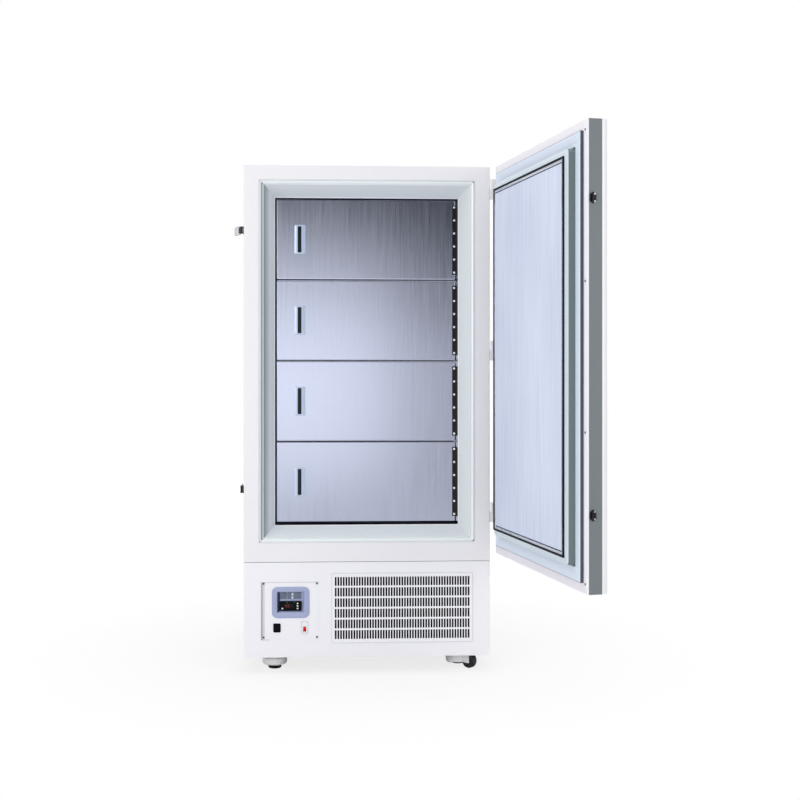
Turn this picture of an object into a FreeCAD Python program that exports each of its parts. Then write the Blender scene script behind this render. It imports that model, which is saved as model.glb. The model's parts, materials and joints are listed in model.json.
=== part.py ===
"""Upright laboratory freezer: an insulated cabinet with one outer door, four inner doors and a machine bay.

Frame: +Z up, the origin on the floor under the middle of the cabinet, the front towards -Y.
All sizes are in millimetres. The outer door is drawn standing open, as in the photograph.
"""

import FreeCAD, Part
import math
import os
import re
import Sketcher
from FreeCAD import Placement, Rotation, Vector

SIZES = {
    # cabinet body
    "body_width": 850,
    "body_depth": 780,
    "body_top": 1751,
    "skirt_level": 57,
    "seam_level": 385.5,
    "seam_gap": 1.5,
    "shell_wall": 1.5,
    "shell_corner": 4,
    "seat_gap": 0.3,
    "running_gap": 0.05,
    # front opening and the stepped frame that lines it
    "opening_from_side": 51,
    "opening_from_seam": 65,
    "opening_from_top": 48,
    "rim_groove": 3,
    "rim_width": 10,
    "rim_recess": 1.5,
    "rim_step": 6,
    "step_width": 4,
    "throat_depth": 84,
    "throat_wall": 3,
    "flange_reach": 14,
    # inner compartment
    "throat_taper": 52,
    "throat_taper_top": 52.5,
    "liner_depth": 590,
    "liner_wall": 1.5,
    "shelf_wall": 1.5,
    "shelf_lip": 16,
    "shelf_setback": 36,
    "shelf_side_gap": 1,
    "ledge_width": 12,
    "ledge_height": 10,
    # evaporator tube behind the liner
    "coil_tube": 10,
    "coil_bend": 55,
    "coil_margin": 124,
    "coil_recess": 16,
    # main door
    "door_side_setback": 2,
    "door_from_seam": 27.5,
    "door_gap": 10.8,
    "door_edge": 44,
    "door_corner": 21,
    "door_skin_wall": 1.5,
    "door_open_angle": 100.4,
    "hinge_side": 7,
    "hinge_back": 1.5,
    "door_border": 32.5,
    "door_border_wall": 4,
    "gasket_width": 40,
    "gasket_depth": 10.5,
    "gasket_inset": 0.6,
    "plug_height": 26,
    "plug_ring": 28,
    "plug_draft": 3,
    "panel_height": 34.5,
    "panel_wall": 1.5,
    "panel_gasket": 6,
    # main door hinges
    "knuckle_radius": 5.5,
    "knuckle_length": 34,
    "hinge_pin": 3,
    "hinge_plate": 3,
    "hinge_leaf_width": 42,
    "hinge_from_top": 111,
    "hinge_from_bottom": 107,
    # inner doors
    "inner_door_side_gap": 5,
    "inner_door_bottom_gap": 10,
    "inner_door_top_gap": 4,
    "inner_door_seam": 3.5,
    "inner_door_depth": 27,
    "inner_door_wall": 1.2,
    "inner_door_return": 16,
    "inner_hinge_inset": 4,
    "inner_hinge_depth": 86,
    "inner_hinge_front": 3,
    "inner_leaf_width": 14,
    "inner_leaf_wall": 2,
    "inner_knuckle": 3,
    "inner_pin": 1.5,
    "inner_knuckle_end": 18,
    "pull_from_edge": 63,
    "pull_width": 38,
    "pull_height": 102,
    "pull_proud": 1.5,
    "slot_width": 14,
    "slot_height": 93,
    "slot_depth": 18,
    "slot_from_edge": 74,
    # side latches
    "latch_from_end": 223,
    "latch_setback": 8,
    "latch_reach": 8,
    "latch_plate": 2.5,
    "latch_height": 25,
    "latch_length": 56,
    "ear_wall": 3,
    "ear_length": 11,
    "latch_pin": 2,
    "lever_length": 54,
    "lever_wall": 5,
    "lever_hub": 4.5,
    "lever_width": 17.4,
    "lever_tip": 4,
    "lever_open_angle": 25,
    "bail_arm": 12,
    "bail_wire": 1.25,
    "bail_width": 28.4,
    "bail_length": 46.8,
    "bail_wall": 1.5,
    "keeper_width": 18,
    "keeper_height": 33,
    "keeper_wall": 3,
    "keeper_from_face": 16,
    "keeper_hook": 8.5,
    "keeper_hook_wall": 3,
    "keeper_hook_height": 18,
    # lower front panel, grille and controls
    "panel_return": 18,
    "panel_sheet": 1.5,
    "grille_from_left": 301,
    "grille_from_right": 59,
    "grille_from_seam": 39,
    "grille_level": 104.5,
    "grille_sheet": 1.5,
    "grille_side_margin": 12.5,
    "grille_end_margin": 13.9,
    "grille_slot_width": 5,
    "grille_rail": 6,
    "grille_columns": 51,
    "grille_rows": 6,
    "plate_from_side": 59.4,
    "plate_level": 117.5,
    "plate_width": 199,
    "plate_height": 199,
    "plate_sheet": 1.5,
    "surround_from_left": 37.5,
    "surround_from_bottom": 75,
    "surround_width": 129,
    "surround_height": 108,
    "surround_corner": 19,
    "surround_sheet": 2.5,
    "pocket_width": 93,
    "pocket_height": 73,
    "pocket_depth": 12,
    "pocket_wall": 1.5,
    "controller_width": 75,
    "controller_height": 33,
    "controller_bezel": 6,
    "controller_body_depth": 58,
    "controller_from_bottom": 7,
    "controller_corner": 3,
    "display_width": 34,
    "display_height": 15,
    "display_depth": 1,
    "key_width": 5,
    "key_height": 4,
    "key_depth": 3,
    "key_proud": 0.6,
    "key_travel": 0.8,
    "rocker_frame_width": 25.5,
    "rocker_frame_height": 31,
    "rocker_width": 20,
    "rocker_height": 24,
    "rocker_from_left": 54.8,
    "rocker_from_bottom": 41.7,
    "alarm_frame_width": 22.4,
    "alarm_frame_height": 43,
    "alarm_width": 9.5,
    "alarm_height": 15,
    "alarm_drop": 5,
    "alarm_from_left": 149.8,
    "alarm_from_bottom": 42,
    "switch_bezel": 2,
    "switch_body_depth": 24,
    "switch_clearance": 1.2,
    "rocker_tilt": 8,
    # machine bay
    "tray_level": 59,
    "tray_wall": 2,
    "tray_flange": 20,
    "deck_wall": 1.5,
    "condenser_inset": 25,
    "condenser_height": 250,
    "condenser_depth": 44,
    "condenser_setback": 40,
    "condenser_lift": 28,
    "shroud_depth": 40,
    "shroud_wall": 2,
    "fan_radius": 108,
    "fan_gap": 7,
    "fan_hub": 28,
    "fan_hub_depth": 26,
    "fan_shaft": 4,
    "fan_blade": 2.5,
    "fan_blade_pitch": 32,
    "fan_blade_chord": 34,
    "motor_width": 74,
    "motor_depth": 60,
    "bracket_wall": 4,
    "bracket_width": 30,
    "compressor_radius": 78,
    "compressor_height": 196,
    "compressor_spacing": 300,
    "compressor_from_back": 190,
    "compressor_foot": 190,
    "compressor_foot_wall": 4,
    "grommet": 12,
    "rear_opening_side": 40,
    "rear_opening_level": 75,
    "rear_opening_height": 285,
    "rear_cover_lap": 12,
    "rear_slot_width": 150,
    "rear_slot_height": 8,
    "rear_slot_pitch": 22,
    "inlet_width": 50,
    "inlet_height": 30,
    "inlet_flange": 2.5,
    "inlet_body_width": 32,
    "inlet_body_height": 24,
    "inlet_body_depth": 26,
    "inlet_cavity_width": 24,
    "inlet_cavity_height": 17,
    "inlet_cavity_depth": 16,
    "inlet_from_side": 110,
    "inlet_level": 110,
    # levelling castors
    "castor_side": 102,
    "castor_front": 100,
    "castor_back": 100,
    "castor_bowl": 40,
    "castor_floor_gap": 20,
    "castor_trail": 52,
    "castor_fork_width": 36,
    "castor_slot_width": 25,
    "castor_slot_start": 23.5,
    "castor_plate": 70,
    "castor_plate_wall": 3,
    "castor_arm": 28,
    "wheel_radius": 27,
    "wheel_width": 22,
    "axle_radius": 4,
    "stem_radius": 6,
    "stem_length": 74,
    "pad_radius": 23.5,
    "pad_height": 7,
    "pad_raised": 11,
    "nut_width": 22,
    "nut_height": 16,
}

doc = FreeCAD.newDocument("LaboratoryFreezer")
sheet = doc.addObject("Spreadsheet::Sheet", "Sizes")
for row, (alias, value) in enumerate(SIZES.items(), start=1):
    sheet.set(f"A{row}", alias)
    sheet.set(f"B{row}", str(value))
    sheet.setAlias(f"B{row}", alias)
doc.recompute()

WORDS = re.compile(r"\b[a-z][a-z_]*[a-z]\b")
parts = {}

# places that several pieces share, written as expressions of the sheet
FRONT = "(-body_depth / 2)"
BACK = "(body_depth / 2)"
HALF = "(body_width / 2)"
OPENING_HALF = "(body_width / 2 - opening_from_side)"
OPENING_LOW = "(seam_level + opening_from_seam)"
OPENING_TOP = "(body_top - opening_from_top)"
INNER_HALF = f"({OPENING_HALF} - throat_taper)"
INNER_LOW = f"({OPENING_LOW} + throat_taper)"
INNER_TOP = f"({OPENING_TOP} - throat_taper_top)"
INNER_HEIGHT = f"({INNER_TOP} - {INNER_LOW})"
THROAT_BACK = f"({FRONT} + throat_depth)"
LINER_BACK = f"({THROAT_BACK} + liner_depth)"
HINGE_X = f"({HALF} + hinge_side)"
HINGE_Y = f"({FRONT} + hinge_back)"
DOOR_FAR = f"({HINGE_X} + {HALF} - door_side_setback)"
DOOR_NEAR = "(hinge_side + door_side_setback)"
DOOR_LOW = "(seam_level + door_from_seam)"
DOOR_HEIGHT = f"(body_top - {DOOR_LOW})"
DOOR_FACE = "(hinge_back + door_gap)"
LATCH_LEVELS = {"upper": "(body_top - latch_from_end)", "lower": f"({DOOR_LOW} + latch_from_end)"}
INNER_HINGE_X = f"({INNER_HALF} - inner_hinge_inset)"
INNER_HINGE_Y = f"({FRONT} + inner_hinge_depth)"
DOOR_PITCH = f"(({INNER_HEIGHT} - inner_door_bottom_gap - inner_door_top_gap + inner_door_seam) / 4)"
INNER_DOOR_WIDTH = f"({INNER_HINGE_X} + {INNER_HALF} - inner_door_side_gap)"
INNER_DOOR_HEIGHT = f"({DOOR_PITCH} - inner_door_seam)"
PLATE_LEFT = f"(-{HALF} + plate_from_side)"
POCKET_LEFT = f"({PLATE_LEFT} + surround_from_left + (surround_width - pocket_width) / 2)"
POCKET_LOW = "(plate_level + surround_from_bottom + (surround_height - pocket_height) / 2)"
CONTROLLER_LEFT = f"({POCKET_LEFT} + (pocket_width - controller_width) / 2)"
CONTROLLER_LOW = f"({POCKET_LOW} + controller_from_bottom)"
POCKET_FLOOR = f"({FRONT} - plate_sheet - surround_sheet + pocket_depth)"
KEY_FACE = f"({POCKET_FLOOR} - controller_bezel)"
TRAY_TOP = "(tray_level + tray_wall)"
GRILLE_LEFT = f"(-{HALF} + grille_from_left)"
GRILLE_WIDTH = "(body_width - grille_from_left - grille_from_right)"
GRILLE_HEIGHT = "(seam_level - grille_from_seam - grille_level)"
SLOTS_WIDTH = f"({GRILLE_WIDTH} - 2 * grille_side_margin)"
SLOTS_HEIGHT = f"({GRILLE_HEIGHT} - 2 * grille_end_margin)"
ROW_PITCH = f"(({SLOTS_HEIGHT} + grille_rail) / grille_rows)"
CONDENSER_WIDTH = f"({GRILLE_WIDTH} - 2 * condenser_inset)"
CONDENSER_X = f"({GRILLE_LEFT} + {GRILLE_WIDTH} / 2)"
CONDENSER_Y = f"({FRONT} + condenser_setback)"
CONDENSER_LOW = f"({TRAY_TOP} + condenser_lift)"
FAN_Z = f"({CONDENSER_LOW} + condenser_height / 2)"
FAN_Y = f"({CONDENSER_Y} + condenser_depth + fan_gap)"
CASTOR_X = f"({HALF} - castor_side)"
COIL_LOW = f"({INNER_LOW} + coil_margin)"
COIL_RUN = f"({INNER_HEIGHT} - 2 * coil_margin)"


def full(expression):
    """Name the sheet in front of each of its aliases."""
    def named(match):
        word = match.group(0)
        return f"Sizes.{word}" if word in SIZES else word
    return WORDS.sub(named, expression)


def bind(item, **expressions):
    """Tie properties to expressions of the sheet."""
    for path, expression in expressions.items():
        item.setExpression(path.replace("__", "."), full(expression))
    return item


def place(item, x="0", y="0", z="0", axis=None, angle=None):
    """Put an object at a place given by expressions, turned about an axis by an angle expression."""
    if axis is not None:
        item.Placement = Placement(Vector(), Rotation(axis, 1))
        bind(item, Placement__Rotation__Angle=angle)
    return bind(item, Placement__Base__x=x, Placement__Base__y=y, Placement__Base__z=z)


def box(x, y, z, length, width, height):
    """A box with its low corner at x, y, z."""
    item = doc.addObject("Part::Box", "Block")
    bind(item, Length=length, Width=width, Height=height)
    return place(item, x, y, z)


def cylinder(x, y, z, radius, height, axis=None, angle="90"):
    """A cylinder along +Z, or along the direction that a turn about the axis gives."""
    item = doc.addObject("Part::Cylinder", "Round")
    bind(item, Radius=radius, Height=height)
    return place(item, x, y, z, axis, angle)


def taper(y, depth, near, far):
    """A block along +Y whose rectangle goes from near to far, each given as left, right, low and top."""
    item = doc.addObject("Part::Wedge", "Taper")
    bind(item, Xmin=near[0], Xmax=near[1], Zmin=near[2], Zmax=near[3], Ymin=y)
    return bind(item, X2min=far[0], X2max=far[1], Z2min=far[2], Z2max=far[3], Ymax=f"{y} + {depth}")


def fuse(*items):
    """One solid of several that touch or overlap."""
    item = doc.addObject("Part::MultiFuse", "Joined")
    item.Shapes = list(items)
    item.Refine = True
    return item


def cut(base, *tools):
    """The base less every tool."""
    item = doc.addObject("Part::Cut", "Trimmed")
    item.Base = base
    item.Tool = tools[0] if len(tools) == 1 else fuse(*tools)
    item.Refine = True
    return item


def group(*items):
    """Several separate solids as one sub-part."""
    item = doc.addObject("Part::Compound", "Set")
    item.Links = list(items)
    return item


def fillet(base, radius, picked):
    """Round the edges of the base that a test picks."""
    doc.recompute()
    size = SIZES[radius]
    edges = base.Shape.Edges
    item = doc.addObject("Part::Fillet", "Rounded")
    item.Base = base
    item.Edges = [(i + 1, size, size) for i, edge in enumerate(edges) if picked(edge)]
    return item


def along(edge, axis):
    """Whether a straight edge runs along an axis, 0 for X, 1 for Y and 2 for Z."""
    ends = [vertex.Point for vertex in edge.Vertexes]
    if len(ends) != 2:
        return False
    run = ends[1] - ends[0]
    return abs(abs(run[axis]) - run.Length) < 1e-6 and run.Length > 1e-6


def sub_part(name, item):
    """Register a finished sub-part under the name of its file."""
    item.Label = name
    parts[name] = item
    return item


def new_body(name):
    """A body for sketches and features."""
    return doc.addObject("PartDesign::Body", name)


def sketch_on(body, role, loops, circles=()):
    """A fully constrained sketch on an origin plane, of closed outlines and circles given as expressions."""
    sketch = body.newObject("Sketcher::SketchObject", "Outline")
    plane = next(item for item in body.Origin.OriginFeatures if item.Role == role)
    sketch.AttachmentSupport = [(plane, "")]
    sketch.MapMode = "FlatFace"
    for points in loops:
        first = sketch.GeometryCount
        count = len(points)
        start = [Vector(90 * math.cos(2 * math.pi * i / count), 90 * math.sin(2 * math.pi * i / count), 0)
                 for i in range(count)]
        for i in range(count):
            sketch.addGeometry(Part.LineSegment(start[i], start[(i + 1) % count]), False)
        for i in range(count):
            sketch.addConstraint(
                Sketcher.Constraint("Coincident", first + i, 2, first + (i + 1) % count, 1))
        for i, (x, y) in enumerate(points):
            dimension(sketch, "DistanceX", first + i, 1, start[i].x, x)
            dimension(sketch, "DistanceY", first + i, 1, start[i].y, y)
    for x, y, radius in circles:
        ring = sketch.addGeometry(Part.Circle(Vector(5, 5, 0), Vector(0, 0, 1), 3), False)
        dimension(sketch, "DistanceX", ring, 3, 5, x)
        dimension(sketch, "DistanceY", ring, 3, 5, y)
        index = sketch.addConstraint(Sketcher.Constraint("Radius", ring, 3))
        tie(sketch, index, radius)
    return sketch


def dimension(sketch, kind, geometry, point, value, expression):
    """Measure one point from the sketch's origin and tie it to an expression."""
    index = sketch.addConstraint(Sketcher.Constraint(kind, -1, 1, geometry, point, value))
    tie(sketch, index, expression)


def tie(sketch, index, expression):
    """Bind a sketch's dimension to the sheet."""
    name = f"size{index}"
    sketch.renameConstraint(index, name)
    sketch.setExpression(f"Constraints.{name}", full(expression))


def pad(body, sketch, length, reverse=False, both=False):
    """Raise a sketch into a solid."""
    feature = body.newObject("PartDesign::Pad", "Pad")
    feature.Profile = sketch
    feature.Reversed = reverse
    feature.Midplane = both
    return bind(feature, Length=length)


def pocket(body, sketch, length, reverse=False, both=False):
    """Sink a sketch into the solid."""
    feature = body.newObject("PartDesign::Pocket", "Pocket")
    feature.Profile = sketch
    feature.Reversed = reverse
    feature.Midplane = both
    return bind(feature, Length=length)


def revolve(body, sketch):
    """Turn a sketch about its vertical axis."""
    feature = body.newObject("PartDesign::Revolution", "Turned")
    feature.Profile = sketch
    feature.ReferenceAxis = (sketch, ["V_Axis"])
    feature.Angle = 360
    return feature


def rectangle(left, low, width, height):
    """The corners of a rectangle, as expressions."""
    right, top = f"{left} + {width}", f"{low} + {height}"
    return [(left, low), (right, low), (right, top), (left, top)]


def turned(name, outline):
    """A body made by turning an outline of radius and height about +Z."""
    body = new_body(name)
    revolve(body, sketch_on(body, "XZ_Plane", [outline]))
    return body


# cabinet shell: sides, top, back and the folded front flange
def make_outer_shell():
    outer = fillet(
        box(f"-{HALF}", FRONT, "skirt_level", "body_width", "body_depth", "body_top - skirt_level"),
        "shell_corner",
        lambda edge: along(edge, 2))
    hollow = box(f"-{HALF} + shell_wall", f"{FRONT} + shell_wall", "skirt_level - 1",
                 "body_width - 2 * shell_wall", "body_depth - 2 * shell_wall",
                 "body_top - skirt_level + 1 - shell_wall")
    mouth = box(f"-{OPENING_HALF}", f"{FRONT} - 1", OPENING_LOW, f"2 * {OPENING_HALF}", "shell_wall + 2",
                f"{OPENING_TOP} - {OPENING_LOW}")
    bay_front = box(f"-{HALF} - 1", f"{FRONT} - 1", "skirt_level - 1", "body_width + 2",
                    "panel_return + seat_gap + 1", "seam_level - skirt_level + 1")
    bay_back = box(f"-{HALF} + rear_opening_side", f"{BACK} - shell_wall - 1", "rear_opening_level",
                   "body_width - 2 * rear_opening_side", "shell_wall + 2", "rear_opening_height")
    sub_part("outer_shell", cut(outer, hollow, mouth, bay_front, bay_back))


# stepped frame between the shell's flange and the liner
def throat_rectangle(inset):
    """The rectangle that lies an inset inside the front opening."""
    return (f"-{OPENING_HALF} + {inset}", f"{OPENING_HALF} - {inset}",
            f"{OPENING_LOW} + {inset}", f"{OPENING_TOP} - {inset}")


def grown(reach):
    """The liner's mouth, grown by a reach all round."""
    return (f"-{INNER_HALF} - {reach}", f"{INNER_HALF} + {reach}",
            f"{INNER_LOW} - {reach}", f"{INNER_TOP} + {reach}")


def make_throat_frame():
    step = "(rim_groove + rim_width)"
    slope = "(rim_groove + rim_width + step_width)"
    slope_depth = "(throat_depth - rim_step)"
    rim = taper(f"{FRONT} + rim_recess", "rim_step + throat_wall - rim_recess",
                throat_rectangle("rim_groove"), throat_rectangle("rim_groove"))
    flange = taper(f"{FRONT} + shell_wall", "throat_wall",
                   throat_rectangle("-flange_reach"), throat_rectangle("-flange_reach"))
    sleeve = taper(f"{FRONT} + rim_step", slope_depth,
                   throat_rectangle(f"({slope} - throat_wall)"), grown("throat_wall"))
    rim_hole = taper(FRONT, "rim_step", throat_rectangle(step), throat_rectangle(step))
    slope_hole = taper(f"{FRONT} + rim_step", slope_depth, throat_rectangle(slope), grown("0"))
    sub_part("throat_frame", cut(fuse(rim, flange, sleeve), rim_hole, slope_hole))


# stainless liner with pressed ledges, and the shelves on them
def seam_height(number):
    """The height of the seam under the inner door of that number, counted from the top."""
    return f"({INNER_LOW} + inner_door_bottom_gap + {4 - number} * {DOOR_PITCH} - inner_door_seam / 2)"


def make_liner():
    outer = taper(THROAT_BACK, "liner_depth + liner_wall", grown("liner_wall"), grown("liner_wall"))
    hollow = taper(f"{THROAT_BACK} - 1", "liner_depth + 1", grown("0"), grown("0"))
    liner = cut(outer, hollow)
    ledges = []
    for number in (1, 2, 3):
        low = f"{seam_height(number)} - ledge_height - shelf_wall / 2"
        for left in (f"-{INNER_HALF}", f"{INNER_HALF} - ledge_width"):
            ledges.append(box(left, f"{THROAT_BACK} + shelf_setback + shelf_wall + seat_gap", low,
                              "ledge_width", "liner_depth - shelf_setback - shelf_wall - seat_gap",
                              "ledge_height"))
    sub_part("inner_liner", fuse(liner, *ledges))


def make_shelves():
    shelves = []
    for number in (1, 2, 3):
        top = f"({seam_height(number)} + shelf_wall / 2)"
        left = f"-{INNER_HALF} + shelf_side_gap"
        width = f"2 * ({INNER_HALF} - shelf_side_gap)"
        deck = box(left, f"{THROAT_BACK} + shelf_setback", f"{top} - shelf_wall", width,
                   "liner_depth - shelf_setback - shelf_side_gap", "shelf_wall")
        lip = box(left, f"{THROAT_BACK} + shelf_setback", f"{top} - shelf_lip", width,
                  "shelf_wall", "shelf_lip")
        shelves.append(fuse(deck, lip))
    sub_part("shelves", group(*shelves))


def make_foam():
    gap = "seat_gap"
    low = f"(seam_level + deck_wall + {gap})"
    block = box(f"-{HALF} + shell_wall + {gap}", f"{FRONT} + shell_wall + {gap}", low,
                f"body_width - 2 * (shell_wall + {gap})", f"body_depth - 2 * (shell_wall + {gap})",
                f"body_top - shell_wall - {gap} - {low}")
    mouth = taper(FRONT, f"rim_step + throat_wall + {gap}",
                  throat_rectangle(f"(-flange_reach - {gap})"), throat_rectangle(f"(-flange_reach - {gap})"))
    throat = taper(f"{FRONT} + rim_step", "(throat_depth - rim_step)",
                   throat_rectangle(f"(rim_groove + rim_width + step_width - throat_wall - {gap})"),
                   grown(f"(throat_wall + {gap})"))
    room = taper(THROAT_BACK, f"liner_depth + liner_wall + {gap}",
                 grown(f"(liner_wall + {gap})"), grown(f"(liner_wall + {gap})"))
    coil = box("-3 * coil_bend - coil_tube", f"{LINER_BACK} + liner_wall",
               f"{COIL_LOW} - coil_bend - coil_tube", "6 * coil_bend + 2 * coil_tube",
               "coil_recess", f"{COIL_RUN} + 2 * coil_bend + 2 * coil_tube")
    sub_part("foam_insulation", cut(block, mouth, throat, room, coil))


def make_evaporator():
    """A flattened tube that runs up and down behind the liner, bent back at the end of each run."""
    half = "(coil_tube / 2)"
    low, high = COIL_LOW, f"({COIL_LOW} + {COIL_RUN})"
    runs = [box(f"{2 * run - 3} * coil_bend - {half}", f"{LINER_BACK} + liner_wall + seat_gap", low,
                "coil_tube", "coil_tube", COIL_RUN) for run in range(4)]
    bends = [box(f"{2 * run - 3} * coil_bend - {half}", f"{LINER_BACK} + liner_wall + seat_gap",
                 f"{high} - coil_tube" if run % 2 == 0 else low, "2 * coil_bend + coil_tube", "coil_tube",
                 "coil_tube") for run in range(3)]
    sub_part("evaporator_coil", fuse(*runs, *bends))


# bottom tray with the nuts that carry the levelling stems, and the deck above the bay
def castor_places():
    """Each front castor's name and place, the direction that its wheel trails and how far its pad is raised."""
    front = f"({FRONT} + castor_front)"
    return [("front_left", f"-{CASTOR_X}", front, "90", "0"),
            ("front_right", CASTOR_X, front, "-45", "pad_raised")]


def make_tray_and_deck():
    left = f"(-{HALF} + shell_wall + seat_gap)"
    near = f"({FRONT} + panel_return + 2 * seat_gap)"
    width = "(body_width - 2 * (shell_wall + seat_gap))"
    depth = "(body_depth - panel_return - shell_wall - 3 * seat_gap)"
    floor = box(left, near, "tray_level", width, depth, "tray_wall")
    sides = [box(x, near, "tray_level", "tray_wall", depth, "tray_flange")
             for x in (left, f"{left} + {width} - tray_wall")]
    nuts = [box(f"{x} - nut_width / 2", f"{y} - nut_width / 2", f"{TRAY_TOP} - 1", "nut_width", "nut_width",
                "nut_height + 1") for _, x, y, _, _ in castor_places()]
    bores = [cylinder(x, y, "tray_level - 1", "stem_radius + running_gap", "tray_wall + nut_height + 2")
             for _, x, y, _, _ in castor_places()]
    sub_part("base_tray", cut(fuse(floor, *sides, *nuts), *bores))
    deck = box(f"-{HALF} + shell_wall + seat_gap", f"{FRONT} + shell_wall + seat_gap", "seam_level",
               "body_width - 2 * (shell_wall + seat_gap)", "body_depth - 2 * (shell_wall + seat_gap)",
               "deck_wall")
    sub_part("deck_plate", deck)


# outer door, drawn about its hinge axis as it stands when shut
def door_ring(inset):
    """The rectangle that lies an inset inside the door's outline, about the hinge axis."""
    return (f"-{DOOR_FAR} + {inset}", f"-{DOOR_NEAR} - {inset}", inset, f"{DOOR_HEIGHT} - {inset}")


def door_block(inset, low, high):
    """A block of the door between two heights over its inner face, an inset inside its outline."""
    ring = door_ring(inset)
    return taper(f"-{DOOR_FACE} + {low}", f"({high} - {low})", ring, ring)


def at_door(name, item):
    """Turn a door piece open about the hinge axis and register it."""
    place(item, HINGE_X, HINGE_Y, DOOR_LOW, Vector(0, 0, 1), "door_open_angle")
    return sub_part(name, item)


def outward_corner(edge):
    """Whether an edge is one of the two upright ones at the door's outer face."""
    return along(edge, 2) and edge.BoundBox.YMax < -SIZES["door_edge"] - SIZES["door_gap"] - 10


def make_door_leaf():
    outer_low = "(-door_edge - door_corner - 1)"
    outline = fillet(door_block("0", outer_low, "(-door_edge)"), "door_corner", outward_corner)
    hollow_block = taper(
        f"-{DOOR_FACE} + {outer_low} + door_skin_wall", "(door_corner + 1 - door_skin_wall + 1)",
        door_ring("door_skin_wall"), door_ring("door_skin_wall"))
    doc.recompute()
    hollow = doc.addObject("Part::Fillet", "Rounded")
    hollow.Base = hollow_block
    inside = SIZES["door_corner"] - SIZES["door_skin_wall"]
    hollow.Edges = [(i + 1, inside, inside) for i, edge in enumerate(hollow_block.Shape.Edges)
                    if outward_corner(edge)]
    at_door("door_skin", cut(outline, hollow))
    filling = box(f"-{DOOR_FAR} + door_corner", f"-{DOOR_FACE} - door_edge - door_corner - 1 + door_skin_wall",
                  "door_skin_wall", f"{DOOR_FAR} - {DOOR_NEAR} - 2 * door_corner",
                  "door_corner + 1 - door_skin_wall + 1", f"{DOOR_HEIGHT} - 2 * door_skin_wall")
    band = door_block("0", "(-door_edge)", "(-door_border_wall)")
    swell = door_block("(door_border + gasket_width + plug_ring + panel_gasket)", "(-door_border_wall - 1)",
                       "(panel_height - panel_wall)")
    at_door("door_core", fuse(band, filling, swell))


def make_door_inside():
    plug = "(door_border + gasket_width)"
    plate = door_block("0", "(-door_border_wall)", "0")
    base, tip = door_ring(plug), door_ring(f"({plug} + plug_draft)")
    rise = taper(f"-{DOOR_FACE} - 1", "(plug_height + 1)", base, tip)
    window = door_block(f"({plug} + plug_ring)", "(-door_border_wall - 1)", "(plug_height + 1)")
    at_door("door_inner_frame", cut(fuse(plate, rise), window))
    at_door("door_gasket", cut(
        door_block("door_border", "0", "gasket_depth"),
        door_block(f"({plug} - gasket_inset)", "(-1)", "(gasket_depth + 1)")))
    seat = f"({plug} + plug_ring)"
    at_door("door_inner_gasket", cut(
        door_block(seat, "(-door_border_wall)", "(panel_height - 0.5)"),
        door_block(f"({seat} + panel_gasket)", "(-door_border_wall - 1)", "(panel_height + 1)")))
    sheet_low = "(panel_height - panel_wall)"
    at_door("door_inner_panel", door_block(f"({seat} + panel_gasket)", sheet_low, "panel_height"))


def hinge_levels():
    """The heights of the three hinges, evenly spaced between the highest and the lowest."""
    top, low = "(body_top - hinge_from_top)", f"({DOOR_LOW} + hinge_from_bottom)"
    return [top, f"(({top} + {low}) / 2)", low]


def make_door_hinges():
    leaves, brackets = [], []
    for level in hinge_levels():
        low = f"({level} - {DOOR_LOW} + knuckle_length + seat_gap)"
        leaf = box(f"-{DOOR_NEAR}", f"-{DOOR_FACE} - hinge_leaf_width - 4", low, "hinge_plate",
                   "hinge_leaf_width", "knuckle_length")
        web = box(f"-{DOOR_NEAR} + hinge_plate - 0.6", f"-{DOOR_FACE} - 8", low, "3.8",
                  f"({DOOR_FACE} + 8)", "knuckle_length")
        knuckle = cylinder("0", "0", low, "knuckle_radius", "knuckle_length")
        bore = cylinder("0", "0", f"{low} - 1", "hinge_pin + running_gap", "knuckle_length + 2")
        leaves.append(cut(fuse(leaf, web, knuckle), bore))
        plate = box(HALF, f"{FRONT} + 10", level, "hinge_plate", "hinge_leaf_width", "knuckle_length")
        arm = box(HALF, f"{HINGE_Y} - knuckle_radius", level, "hinge_side + knuckle_radius",
                  "knuckle_radius + 14", "knuckle_length")
        pin = cylinder(HINGE_X, HINGE_Y, f"{level} + knuckle_length - 1", "hinge_pin", "knuckle_length + 1")
        brackets.append(fuse(plate, arm, pin))
    at_door("door_hinge_leaves", group(*leaves))
    sub_part("door_hinge_brackets", group(*brackets))


def make_keepers():
    keepers = []
    for level in LATCH_LEVELS.values():
        middle = f"({level} - {DOOR_LOW})"
        across = f"(-{DOOR_FACE} - keeper_from_face)"
        body = new_body("Keeper")
        half, tall, nose = "(keeper_width / 2)", "(keeper_height / 2)", "(keeper_height / 2 - keeper_width / 3)"
        outline = [(f"-{half}", f"-{nose}"), ("0", f"-{tall}"), (half, f"-{nose}"),
                   (half, nose), ("0", tall), (f"-{half}", nose)]
        pad(body, sketch_on(body, "YZ_Plane", [outline]), "keeper_wall", reverse=True)
        place(body, f"-{DOOR_FAR}", across, middle)
        hook = box(f"-{DOOR_FAR} - keeper_wall - keeper_hook", f"{across} + 2",
                   f"{middle} - keeper_hook_height / 2", "keeper_hook + 1", "keeper_hook_wall",
                   "keeper_hook_height")
        keepers.append(fuse(body, hook))
    at_door("latch_keepers", group(*keepers))


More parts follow.
